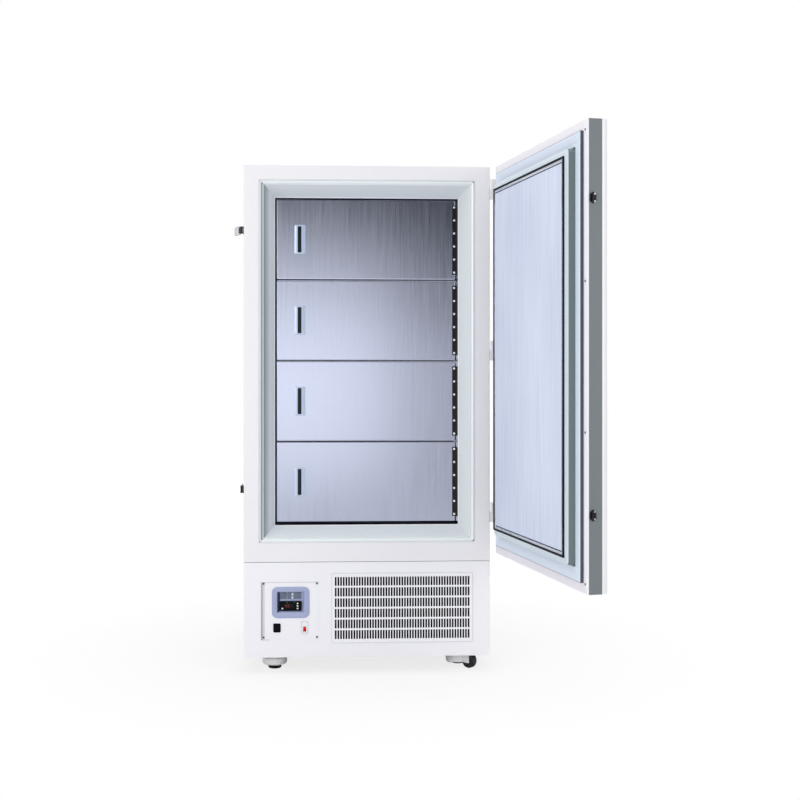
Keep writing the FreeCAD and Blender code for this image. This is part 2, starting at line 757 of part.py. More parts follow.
# inner doors: folded stainless pans with a sunk pull and a strip hinge
def make_inner_doors():
    low_edge = f"-{INNER_DOOR_WIDTH}"
    right_gap = "(inner_hinge_front + 2)"
    pan_width = f"({INNER_DOOR_WIDTH} - {right_gap})"
    depth = "inner_door_depth"
    wall = "inner_door_wall"
    fixed_leaves = []
    for number in (1, 2, 3, 4):
        level = f"({seam_height(number)} + inner_door_seam / 2)"
        pan = box(low_edge, "inner_hinge_front", "0", pan_width, depth, INNER_DOOR_HEIGHT)
        hollow = box(f"{low_edge} + {wall}", f"inner_hinge_front + {wall}", wall, f"{pan_width} - 2 * {wall}",
                     f"{depth} - 2 * {wall}", f"{INNER_DOOR_HEIGHT} - 2 * {wall}")
        back = box(f"{low_edge} + inner_door_return", f"inner_hinge_front + {depth} - {wall} - 1",
                   "inner_door_return", f"{pan_width} - 2 * inner_door_return", f"{wall} + 2",
                   f"{INNER_DOOR_HEIGHT} - 2 * inner_door_return")
        plate_low = f"({INNER_DOOR_HEIGHT} / 2 - pull_height / 2)"
        slot_low = f"({INNER_DOOR_HEIGHT} / 2 - slot_height / 2)"
        pull = box(f"{low_edge} + pull_from_edge", "inner_hinge_front - pull_proud", plate_low,
                   "pull_width", "pull_proud + 1", "pull_height")
        cup = box(f"{low_edge} + slot_from_edge - {wall}", "inner_hinge_front", f"{slot_low} - {wall}",
                  f"slot_width + 2 * {wall}", f"slot_depth + {wall}", f"slot_height + 2 * {wall}")
        slot = box(f"{low_edge} + slot_from_edge", "inner_hinge_front - pull_proud - 1", slot_low,
                   "slot_width", "slot_depth + pull_proud + 1", "slot_height")
        door = cut(fuse(cut(pan, hollow, back), pull, cup), slot)
        place(door, INNER_HINGE_X, INNER_HINGE_Y, level)
        sub_part(f"inner_door_{number}", door)
        fixed_leaves.append(make_inner_hinge(number, level))
    sub_part("inner_hinge_frame_leaves", group(*fixed_leaves))


def make_inner_hinge(number, level):
    """The strip hinge of one inner door: its moving leaf is registered and its fixed leaf returned."""
    end = "inner_knuckle_end"
    leaf = box("-inner_leaf_width - 2", "inner_hinge_front - inner_leaf_wall", end,
               "inner_leaf_width + 2", "inner_leaf_wall", f"{INNER_DOOR_HEIGHT} - 2 * {end}")
    knuckle = cylinder("0", "0", end, "inner_knuckle", f"{INNER_DOOR_HEIGHT} - 2 * {end}")
    bore = cylinder("0", "0", "0", "inner_pin + running_gap", INNER_DOOR_HEIGHT)
    moving = cut(fuse(leaf, knuckle), bore)
    place(moving, INNER_HINGE_X, INNER_HINGE_Y, level)
    sub_part(f"inner_door_hinge_{number}", moving)
    plate = box("inner_knuckle", "-1", "2", "inner_hinge_inset - inner_knuckle", "13",
                f"{INNER_DOOR_HEIGHT} - 4")
    pin = cylinder("0", "0", "2", "inner_pin", f"{INNER_DOOR_HEIGHT} - 4")
    ends = [box("-inner_pin - 0.5", "-inner_pin - 0.5", low, "inner_knuckle + inner_pin + 1",
                "2 * inner_pin + 1", f"{end} - seat_gap - 2")
            for low in ("2", f"{INNER_DOOR_HEIGHT} - {end} + seat_gap")]
    fixed = fuse(plate, pin, *ends)
    return place(fixed, INNER_HINGE_X, INNER_HINGE_Y, level)


# side latches: a base with ears, a lever and a wire bail on the lever
def make_latches():
    pivot_x = f"(-{HALF} - latch_reach)"
    pivot_y = f"({FRONT} + latch_setback)"
    bases = []
    for name, angle in (("upper", "lever_open_angle"), ("lower", "0")):
        level = LATCH_LEVELS[name]
        plate = box(f"-{HALF} - latch_plate", f"{FRONT} + 2", f"{level} - latch_height / 2", "latch_plate",
                    "latch_length", "latch_height")
        ears = []
        for side in ("-lever_width / 2 - seat_gap - ear_wall", "lever_width / 2 + seat_gap"):
            ears.append(box(f"{pivot_x} - 4", f"{pivot_y} - ear_length / 2", f"{level} + {side}",
                            "latch_reach + 4 - latch_plate + 1", "ear_length", "ear_wall"))
        pin = cylinder(pivot_x, pivot_y, f"{level} - lever_width / 2 - 1", "latch_pin", "lever_width + 2")
        bases.append(fuse(plate, *ears, pin))
        lever = make_lever()
        place(lever, pivot_x, pivot_y, level, Vector(0, 0, 1), angle)
        sub_part(f"latch_lever_{name}", lever)
        bail = make_bail()
        place(bail, pivot_x, pivot_y, level, Vector(0, 0, 1), angle)
        sub_part(f"latch_bail_{name}", bail)
    sub_part("latch_bases", group(*bases))


def make_lever():
    """A lever along +Y from its pivot, with a bore for the pin and one for the bail."""
    half = "(lever_width / 2)"
    arm = box("-lever_wall / 2", "-lever_hub", f"-{half}", "lever_wall", "lever_hub + lever_length",
              "lever_width")
    tip = box("-lever_tip - 2", "lever_length - lever_wall", f"-{half}", "lever_tip", "lever_wall",
              "lever_width")
    pin_bore = cylinder("0", "0", f"-{half} - 1", "latch_pin + running_gap", "lever_width + 2")
    bail_bore = cylinder("0", "bail_arm", f"-{half} - 1", "bail_wire + running_gap", "lever_width + 2")
    return cut(fuse(arm, tip), pin_bore, bail_bore)


def make_bail():
    """A bail that lies along +Y from its own pivot on the lever: two flat arms between two round bars."""
    half = "(bail_width / 2)"
    pivot = cylinder("0", "bail_arm", f"-{half}", "bail_wire", f"2 * {half}")
    bar = box("-1.2", "bail_arm + bail_length - 1.2", f"-{half}", "2.4", "2.4", f"2 * {half}")
    arms = [box("-1.6", "bail_arm - 2.5", low, "3.2", "bail_length + 5", "bail_wall")
            for low in (f"-{half}", f"{half} - bail_wall")]
    return fuse(pivot, bar, *arms)


# lower front panel, grille and control plate
def make_lower_panel():
    face = box(f"-{HALF}", FRONT, "skirt_level", "body_width", "panel_return",
               "seam_level - seam_gap - skirt_level")
    rounded = fillet(face, "shell_corner",
                     lambda edge: along(edge, 2) and edge.BoundBox.YMax < -SIZES["body_depth"] / 2 + 1)
    hollow = box(f"-{HALF} + panel_sheet", f"{FRONT} + panel_sheet", "skirt_level + panel_sheet",
                 "body_width - 2 * panel_sheet", "panel_return",
                 "seam_level - seam_gap - skirt_level - 2 * panel_sheet")
    air = box(f"{GRILLE_LEFT} + grille_side_margin - 2", f"{FRONT} - 1",
              "grille_level + grille_end_margin - 2", f"{SLOTS_WIDTH} + 4", "panel_sheet + 2",
              f"{SLOTS_HEIGHT} + 4")
    sub_part("lower_front_panel", cut(rounded, hollow, air, *control_holes()))


def control_holes():
    """Cutters for the control pocket and the two switches, through the plate and the panel."""
    start = f"({FRONT} - plate_sheet - 1)"
    depth = "plate_sheet + panel_sheet + 2"
    pocket_room = box(f"{POCKET_LEFT} - pocket_wall - seat_gap", start,
                      f"{POCKET_LOW} - pocket_wall - seat_gap", "pocket_width + 2 * (pocket_wall + seat_gap)",
                      depth, "pocket_height + 2 * (pocket_wall + seat_gap)")
    holes = [pocket_room]
    for x, z, width, height, _, _, _ in switches():
        holes.append(box(f"{x} - {width} / 2 + 1.5", start, f"{z} - {height} / 2 + 1.5",
                         f"{width} - 3", depth, f"{height} - 3"))
    return holes


def switches():
    """Place, frame size, actuator size and drop of the power rocker and the alarm switch."""
    return [(f"({PLATE_LEFT} + rocker_from_left)", "(plate_level + rocker_from_bottom)", "rocker_frame_width",
             "rocker_frame_height", "rocker_width", "rocker_height", "0"),
            (f"({PLATE_LEFT} + alarm_from_left)", "(plate_level + alarm_from_bottom)", "alarm_frame_width",
             "alarm_frame_height", "alarm_width", "alarm_height", "alarm_drop")]


def make_grille():
    """A sheet with a row of tall slots, and the flat rails across its back that part them into six rows."""
    body = new_body("Grille")
    pad(body, sketch_on(body, "XZ_Plane", [rectangle("0", "0", GRILLE_WIDTH, GRILLE_HEIGHT)]), "grille_sheet")
    outline = sketch_on(body, "XZ_Plane", [
        rectangle("grille_side_margin", "grille_end_margin", "grille_slot_width", SLOTS_HEIGHT)])
    slot = pocket(body, outline, "2 * grille_sheet + 2", both=True)
    columns = body.newObject("PartDesign::LinearPattern", "Columns")
    columns.Originals = [slot]
    columns.Direction = (outline, ["H_Axis"])
    bind(columns, Length=f"{SLOTS_WIDTH} - grille_slot_width", Occurrences="grille_columns")
    body.Tip = columns
    place(body, GRILLE_LEFT, FRONT, "grille_level")
    sub_part("front_grille", body)
    rails = []
    for number in range(1, SIZES["grille_rows"]):
        low = f"grille_level + grille_end_margin + {number} * {ROW_PITCH} - grille_rail"
        rails.append(box(f"{GRILLE_LEFT} + grille_side_margin - 1", FRONT, low, f"{SLOTS_WIDTH} + 2",
                         "grille_sheet", "grille_rail"))
    sub_part("grille_rails", group(*rails))


def make_controls():
    plate = box(PLATE_LEFT, f"{FRONT} - plate_sheet", "plate_level", "plate_width", "plate_sheet",
                "plate_height")
    sub_part("control_plate", cut(plate, *control_holes()))
    frame_left = f"({PLATE_LEFT} + surround_from_left)"
    frame_low = "(plate_level + surround_from_bottom)"
    frame = fillet(box(frame_left, f"{FRONT} - plate_sheet - surround_sheet", frame_low, "surround_width",
                       "surround_sheet", "surround_height"),
                   "surround_corner", lambda edge: along(edge, 1))
    tray = box(f"{POCKET_LEFT} - pocket_wall", f"{FRONT} - plate_sheet - surround_sheet / 2",
               f"{POCKET_LOW} - pocket_wall", "pocket_width + 2 * pocket_wall",
               "pocket_depth - surround_sheet / 2 + pocket_wall", "pocket_height + 2 * pocket_wall")
    room = box(POCKET_LEFT, f"{FRONT} - plate_sheet - surround_sheet - 1", POCKET_LOW, "pocket_width",
               "pocket_depth + 1", "pocket_height")
    behind = box(f"{CONTROLLER_LEFT} + 2", f"{POCKET_FLOOR} - 1", f"{CONTROLLER_LOW} + 2",
                 "controller_width - 4", "pocket_wall + 2", "controller_height - 4")
    sub_part("control_bezel", cut(fuse(frame, tray), room, behind))
    make_controller()
    make_switches()


def key_places():
    """The keys' names and their centres from the controller's low left corner."""
    column = "(controller_width - 14)"
    return [("up", column, "(controller_height - 8)"), ("set", column, "(controller_height / 2)"),
            ("down", column, "8"), ("light", "8.5", "8")]


def make_controller():
    face = fillet(box(CONTROLLER_LEFT, KEY_FACE, CONTROLLER_LOW, "controller_width", "controller_bezel",
                      "controller_height"),
                  "controller_corner", lambda edge: along(edge, 1))
    rear = box(f"{CONTROLLER_LEFT} + 2 + seat_gap", f"{POCKET_FLOOR} - 1", f"{CONTROLLER_LOW} + 2 + seat_gap",
               "controller_width - 4 - 2 * seat_gap", "controller_body_depth + 1",
               "controller_height - 4 - 2 * seat_gap")
    window = box(f"{CONTROLLER_LEFT} + 14", f"{KEY_FACE} - 1", f"{CONTROLLER_LOW} + 9",
                 "display_width", "display_depth + 1", "display_height")
    wells = []
    for name, x, z in key_places():
        left = f"({CONTROLLER_LEFT} + {x} - key_width / 2)"
        low = f"({CONTROLLER_LOW} + {z} - key_height / 2)"
        wells.append(box(f"{left} - seat_gap", f"{KEY_FACE} - 1", f"{low} - seat_gap",
                         "key_width + 2 * seat_gap", "1 + key_depth - key_proud + key_travel + seat_gap",
                         "key_height + 2 * seat_gap"))
        key = box(left, f"{KEY_FACE} - key_proud", low, "key_width", "key_depth", "key_height")
        sub_part(f"key_{name}", key)
    sub_part("temperature_controller", cut(fuse(face, rear), window, *wells))


def make_switches():
    frames = []
    plate_face = f"({FRONT} - plate_sheet)"
    names = ("power_rocker", "alarm_rocker")
    for name, (x, z, width, height, wide, tall, drop) in zip(names, switches()):
        rim = box(f"{x} - {width} / 2", f"{plate_face} - switch_bezel", f"{z} - {height} / 2", width,
                  "switch_bezel", height)
        body = box(f"{x} - {width} / 2 + 1.5 + seat_gap", f"{plate_face} - 1",
                   f"{z} - {height} / 2 + 1.5 + seat_gap", f"{width} - 3 - 2 * seat_gap", "switch_body_depth",
                   f"{height} - 3 - 2 * seat_gap")
        centre = f"({z} - {drop})"
        well = box(f"{x} - {wide} / 2 - seat_gap", f"{plate_face} - switch_bezel - 1",
                   f"{centre} - {tall} / 2 - switch_clearance", f"{wide} + 2 * seat_gap",
                   "switch_bezel + 13", f"{tall} + 2 * switch_clearance")
        frames.append(cut(fuse(rim, body), well))
        sub_part(name, make_rocker(x, f"{plate_face} + 3", centre, wide, tall))
    sub_part("switch_frames", group(*frames))


def make_rocker(x, y, z, width, height):
    """A rocker with a dished front, tilted about its cross pin."""
    body = new_body("Rocker")
    half = f"({height} / 2)"
    # the cross pin is at the origin of this outline, and -Y is out of the switch
    outline = [("-6.5", f"-{half}"), ("-5", "0"), ("-6.5", half), ("-2", half), ("4", f"{half} / 2"),
               ("4", f"-{half} / 2"), ("-2", f"-{half}")]
    pad(body, sketch_on(body, "YZ_Plane", [outline]), width, both=True)
    return place(body, x, y, z, Vector(1, 0, 0), "-rocker_tilt")


# machine bay: condenser with its shroud, fan, compressors and the rear cover
def make_condenser():
    left = f"({CONDENSER_X} - {CONDENSER_WIDTH} / 2)"
    core = box(left, CONDENSER_Y, CONDENSER_LOW, CONDENSER_WIDTH, "condenser_depth", "condenser_height")
    ends = [box(x, f"{CONDENSER_Y} - 4", TRAY_TOP, "3", "condenser_depth + shroud_depth + 4",
                "condenser_height + condenser_lift + 4")
            for x in (f"{left} - 3", f"{left} + {CONDENSER_WIDTH}")]
    shroud = box(left, f"{CONDENSER_Y} + condenser_depth - 1", CONDENSER_LOW, CONDENSER_WIDTH,
                 "shroud_depth + 1", "condenser_height")
    hollow = box(f"{left} + shroud_wall", f"{CONDENSER_Y} + condenser_depth", f"{CONDENSER_LOW} + shroud_wall",
                 f"{CONDENSER_WIDTH} - 2 * shroud_wall", "shroud_depth - shroud_wall",
                 "condenser_height - 2 * shroud_wall")
    mouth = cylinder(CONDENSER_X, f"{FAN_Y} + shroud_depth + 20", FAN_Z, "fan_radius + 6",
                     "shroud_depth + 20 - fan_gap + 1", Vector(1, 0, 0))
    sub_part("condenser_unit", cut(fuse(core, *ends, shroud), hollow, mouth))
    rail_y = f"({CONDENSER_Y} + condenser_depth + shroud_depth)"
    rail = box(f"{CONDENSER_X} - bracket_width / 2", rail_y, CONDENSER_LOW, "bracket_width", "bracket_wall",
               "condenser_height")
    motor = box(f"{CONDENSER_X} - motor_width / 2", rail_y, f"{FAN_Z} - motor_width / 2", "motor_width",
                "motor_depth", "motor_width")
    shaft = cylinder(CONDENSER_X, f"{rail_y} + 1", FAN_Z, "fan_shaft",
                     "shroud_depth - fan_gap - 1", Vector(1, 0, 0))
    sub_part("fan_motor", fuse(rail, motor, shaft))


def make_fan():
    body = new_body("Fan")
    hub = sketch_on(body, "XY_Plane", [], [("0", "0", "fan_hub")])
    pad(body, hub, "fan_hub_depth")
    blade = new_body("Blade")
    outline = rectangle("-fan_blade_chord / 2", "-fan_blade / 2", "fan_blade_chord", "fan_blade")
    pad(blade, sketch_on(blade, "XY_Plane", [outline]), "fan_radius - fan_hub + 4")
    blades = []
    for number in range(5):
        copy = doc.addObject("Part::Feature", "BladeCopy")
        doc.recompute()
        shape = blade.Shape.copy()
        shape.rotate(Vector(), Vector(0, 0, 1), SIZES["fan_blade_pitch"])
        shape.rotate(Vector(), Vector(0, 1, 0), 90)
        shape.translate(Vector(SIZES["fan_hub"] - 4, 0, SIZES["fan_hub_depth"] / 2))
        shape.rotate(Vector(), Vector(0, 0, 1), 72 * number)
        copy.Shape = shape
        blades.append(copy)
    bore = cylinder("0", "0", "-1", "fan_shaft + running_gap", "fan_hub_depth + 2")
    fan = cut(fuse(body, *blades), bore)
    place(fan, CONDENSER_X, f"{FAN_Y} + fan_hub_depth", FAN_Z, Vector(1, 0, 0), "90")
    sub_part("fan_blades", fan)


def make_compressors():
    compressors = []
    for side in ("-0.5", "0.5"):
        shell = cylinder("0", "0", "grommet", "compressor_radius", "compressor_height - grommet")
        foot = box("-compressor_foot / 2", "-compressor_foot / 2", "grommet - compressor_foot_wall",
                   "compressor_foot", "compressor_foot", "compressor_foot_wall + 1")
        feet = [box(x, y, "0", "2 * grommet", "2 * grommet", "grommet - compressor_foot_wall + 1")
                for x in ("-compressor_foot / 2", "compressor_foot / 2 - 2 * grommet")
                for y in ("-compressor_foot / 2", "compressor_foot / 2 - 2 * grommet")]
        unit = fuse(shell, foot, *feet)
        place(unit, f"{side} * compressor_spacing", f"{BACK} - compressor_from_back", TRAY_TOP)
        compressors.append(unit)
    sub_part("compressors", group(*compressors))


def make_rear():
    left = f"(-{HALF} + rear_opening_side - rear_cover_lap)"
    low = "(rear_opening_level - rear_cover_lap)"
    width = "(body_width - 2 * rear_opening_side + 2 * rear_cover_lap)"
    plate = box(left, BACK, low, width, "panel_sheet", "rear_opening_height + 2 * rear_cover_lap")
    slots = []
    for column in range(3):
        for line in range(4):
            x = f"({column} - 1) * (rear_slot_width + 30) - rear_slot_width / 2"
            slots.append(box(x, f"{BACK} - 1", f"rear_opening_level + 130 + {line} * rear_slot_pitch",
                             "rear_slot_width", "panel_sheet + 2", "rear_slot_height"))
    inlet_x = f"({HALF} - inlet_from_side)"
    hole = box(f"{inlet_x} - inlet_body_width / 2 - seat_gap", f"{BACK} - 1",
               "inlet_level - inlet_body_height / 2 - seat_gap", "inlet_body_width + 2 * seat_gap",
               "panel_sheet + 2", "inlet_body_height + 2 * seat_gap")
    sub_part("rear_cover", cut(plate, *slots, hole))
    flange = box(f"{inlet_x} - inlet_width / 2", f"{BACK} + panel_sheet", "inlet_level - inlet_height / 2",
                 "inlet_width", "inlet_flange", "inlet_height")
    body = box(f"{inlet_x} - inlet_body_width / 2", f"{BACK} + panel_sheet + 1 - inlet_body_depth",
               "inlet_level - inlet_body_height / 2", "inlet_body_width", "inlet_body_depth",
               "inlet_body_height")
    cavity = box(f"{inlet_x} - inlet_cavity_width / 2",
                 f"{BACK} + panel_sheet + inlet_flange - inlet_cavity_depth",
                 "inlet_level - inlet_cavity_height / 2", "inlet_cavity_width", "inlet_cavity_depth + 1",
                 "inlet_cavity_height")
    sub_part("power_inlet", cut(fuse(flange, body), cavity))


# levelling castors: a forked bowl that swivels on the stem, its wheel, and the pad on the stem
def make_castors():
    for name, x, y, trail, raised in castor_places():
        bowl = cylinder("0", "0", "castor_floor_gap", "castor_bowl", "tray_level - seat_gap - castor_floor_gap")
        fork = box("0", "-castor_fork_width / 2", "castor_floor_gap", "castor_trail + 10", "castor_fork_width",
                   "tray_level - seat_gap - castor_floor_gap")
        slot = box("castor_slot_start", "-castor_slot_width / 2", "0", "castor_trail + wheel_radius",
                   "castor_slot_width", "wheel_radius * 2 + 2")
        bore = cylinder("0", "0", "0", "stem_radius + seat_gap", "tray_level + 1")
        axle = cylinder("castor_trail", "castor_fork_width / 2 - 1", "wheel_radius", "axle_radius",
                        "castor_fork_width - 2", Vector(1, 0, 0))
        housing = fuse(cut(fuse(bowl, fork), slot, bore), axle)
        place(housing, x, y, "0", Vector(0, 0, 1), trail)
        sub_part(f"castor_{name}", housing)
        wheel = make_wheel("castor_trail")
        place(wheel, x, y, "0", Vector(0, 0, 1), trail)
        sub_part(f"wheel_{name}", wheel)
        pad_body = turned("Pad", [
            ("0", "0"), ("pad_radius", "0"), ("pad_radius", "pad_height"),
            ("stem_radius", "pad_height"), ("stem_radius", "stem_length"), ("0", "stem_length")])
        place(pad_body, x, y, raised)
        sub_part(f"levelling_pad_{name}", pad_body)


def make_rear_castors():
    for name, side in (("rear_left", "-1"), ("rear_right", "1")):
        x, y = f"{side} * {CASTOR_X}", f"{BACK} - castor_back"
        plate = box("-castor_plate / 2", "-castor_plate / 2", "tray_level - castor_plate_wall", "castor_plate",
                    "castor_plate", "castor_plate_wall")
        arms = [box(left, "-castor_arm / 2", "castor_floor_gap", "(castor_fork_width - castor_slot_width) / 2",
                    "castor_arm", "tray_level - castor_floor_gap - castor_plate_wall / 2")
                for left in ("-castor_fork_width / 2", "castor_slot_width / 2")]
        axle = cylinder("-castor_fork_width / 2 + 1", "0", "wheel_radius", "axle_radius",
                        "castor_fork_width - 2", Vector(0, 1, 0))
        sub_part(f"castor_{name}", place(fuse(plate, *arms, axle), x, y, "0"))
        wheel = make_wheel("0")
        sub_part(f"wheel_{name}", place(wheel, x, y, "0", Vector(0, 0, 1), "90"))


def make_wheel(trail):
    """A wheel on its axle along Y, set off along +X from the swivel axis."""
    half = "(wheel_width / 2)"
    tyre = turned("Wheel", [
        ("axle_radius + running_gap", f"-{half}"), ("wheel_radius", f"-{half}"),
        ("wheel_radius", half), ("axle_radius + running_gap", half)])
    place(tyre, trail, "0", "wheel_radius", Vector(1, 0, 0), "90")
    return group(tyre)


def main():
    """Build every sub-part, check it and write its file."""
    make_outer_shell()
    make_throat_frame()
    make_liner()
    make_shelves()
    make_foam()
    make_evaporator()
    make_tray_and_deck()
    make_door_leaf()
    make_door_inside()
    make_door_hinges()
    make_keepers()
    make_inner_doors()
    make_latches()
    make_lower_panel()
    make_grille()
    make_controls()
    make_condenser()
    make_fan()
    make_compressors()
    make_rear()
    make_castors()
    make_rear_castors()
    doc.recompute()
    for item in doc.Objects:
        if "Invalid" in item.State or "Error" in item.State:
            raise RuntimeError(f"{item.Name} {item.Label} failed: {item.State}")
    os.makedirs("parts", exist_ok=True)
    for name, item in parts.items():
        shape = item.Shape
        if shape.isNull() or not shape.isValid() or not shape.Solids:
            raise RuntimeError(f"{name} has no valid shape")
        shape.exportStep(f"parts/{name}.step")
        print(name, len(shape.Solids), round(shape.Volume / 1000, 1), "cm3")
    print(len(parts), "sub-parts")


main()
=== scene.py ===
import json
import logging
import math
from dataclasses import dataclass, field
from enum import Enum
from typing import Callable, ClassVar, Iterable, Mapping, Sequence

import bmesh
import bpy
from mathutils import Matrix, Vector


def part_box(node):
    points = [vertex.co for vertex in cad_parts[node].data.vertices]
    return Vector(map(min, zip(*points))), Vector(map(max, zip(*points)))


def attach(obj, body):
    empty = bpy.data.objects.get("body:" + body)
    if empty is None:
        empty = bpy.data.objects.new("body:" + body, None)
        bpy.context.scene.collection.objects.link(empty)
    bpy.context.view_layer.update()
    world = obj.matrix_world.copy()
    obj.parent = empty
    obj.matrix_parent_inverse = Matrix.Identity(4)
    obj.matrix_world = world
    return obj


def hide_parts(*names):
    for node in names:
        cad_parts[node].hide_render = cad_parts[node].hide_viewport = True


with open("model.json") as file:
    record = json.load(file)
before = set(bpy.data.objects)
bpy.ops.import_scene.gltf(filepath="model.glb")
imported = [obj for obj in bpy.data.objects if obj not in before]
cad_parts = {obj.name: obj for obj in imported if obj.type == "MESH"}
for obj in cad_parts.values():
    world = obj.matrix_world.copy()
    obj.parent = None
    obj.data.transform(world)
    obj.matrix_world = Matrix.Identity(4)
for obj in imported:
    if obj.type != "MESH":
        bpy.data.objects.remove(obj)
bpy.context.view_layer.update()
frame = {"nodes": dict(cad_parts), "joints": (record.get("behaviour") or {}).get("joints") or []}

# The looks of an upright laboratory freezer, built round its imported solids. Sizes are in metres.

LOG = logging.getLogger("freezer")

Node = bpy.types.Node
Socket = bpy.types.NodeSocket
Tree = bpy.types.NodeTree
Thing = bpy.types.Object
Given = Mapping[str, Socket]
Point = tuple[float, float, float]
Tint = tuple[int, int, int]
Step = tuple[float, ...]
Profile = Sequence[tuple[float, float]]

WELD = 1e-6
SHARP = math.radians(30)
SOCKETS = {int: "NodeSocketInt", float: "NodeSocketFloat", tuple: "NodeSocketVector"}


def linear(level: float) -> float:
    """Turn one display level into linear light.

    Args:
        level: A level from 0 to 255.

    Returns:
        The linear value from 0 to 1.
    """
    share = level / 255
    return share / 12.92 if share <= 0.04045 else ((share + 0.055) / 1.055) ** 2.4


def colour(tint: Tint) -> tuple[float, float, float, float]:
    """Turn display levels into a linear colour with full alpha."""
    red, green, blue = tint
    return linear(red), linear(green), linear(blue), 1.0


def fill(tree: Tree, node: Node, **values: object) -> Node:
    """Fill a node's inputs: a socket is linked, any other value is set.

    Args:
        tree: The tree that holds the node.
        node: The node.
        values: Inputs by name, with spaces as underscores, or by number, as in _0.

    Returns:
        The node.
    """
    for name, value in values.items():
        socket = node.inputs[int(name[1:]) if name[0] == "_" else name.replace("_", " ")]
        if isinstance(value, Socket):
            tree.links.new(value, socket)
        else:
            socket.default_value = value
    return node


def add(tree: Tree, kind: str, settings: dict[str, object] | None = None,
        **values: object) -> Node:
    """Add a node.

    Args:
        tree: The tree that gets the node.
        kind: The node's type name.
        settings: The node's own settings, such as its operation.
        values: What fill() gets.

    Returns:
        The new node.
    """
    node = tree.nodes.new(kind)
    for name, value in (settings or {}).items():
        setattr(node, name, value)
    return fill(tree, node, **values)


def times(tree: Tree, first: object, second: object) -> Socket:
    """The product of two values."""
    return add(tree, "ShaderNodeMath", {"operation": "MULTIPLY"}, _0=first, _1=second).outputs[0]


def stand(name: str, data: bpy.types.ID) -> Thing:
    """Put a new object into the scene."""
    found = bpy.data.objects.new(name, data)
    bpy.context.scene.collection.objects.link(found)
    return found


class Along(Enum):
    """The direction in which a sheet was brushed, as a stretch of the texture."""

    UPRIGHT = (60.0, 60.0, 1.2)
    DEEP = (60.0, 1.2, 60.0)


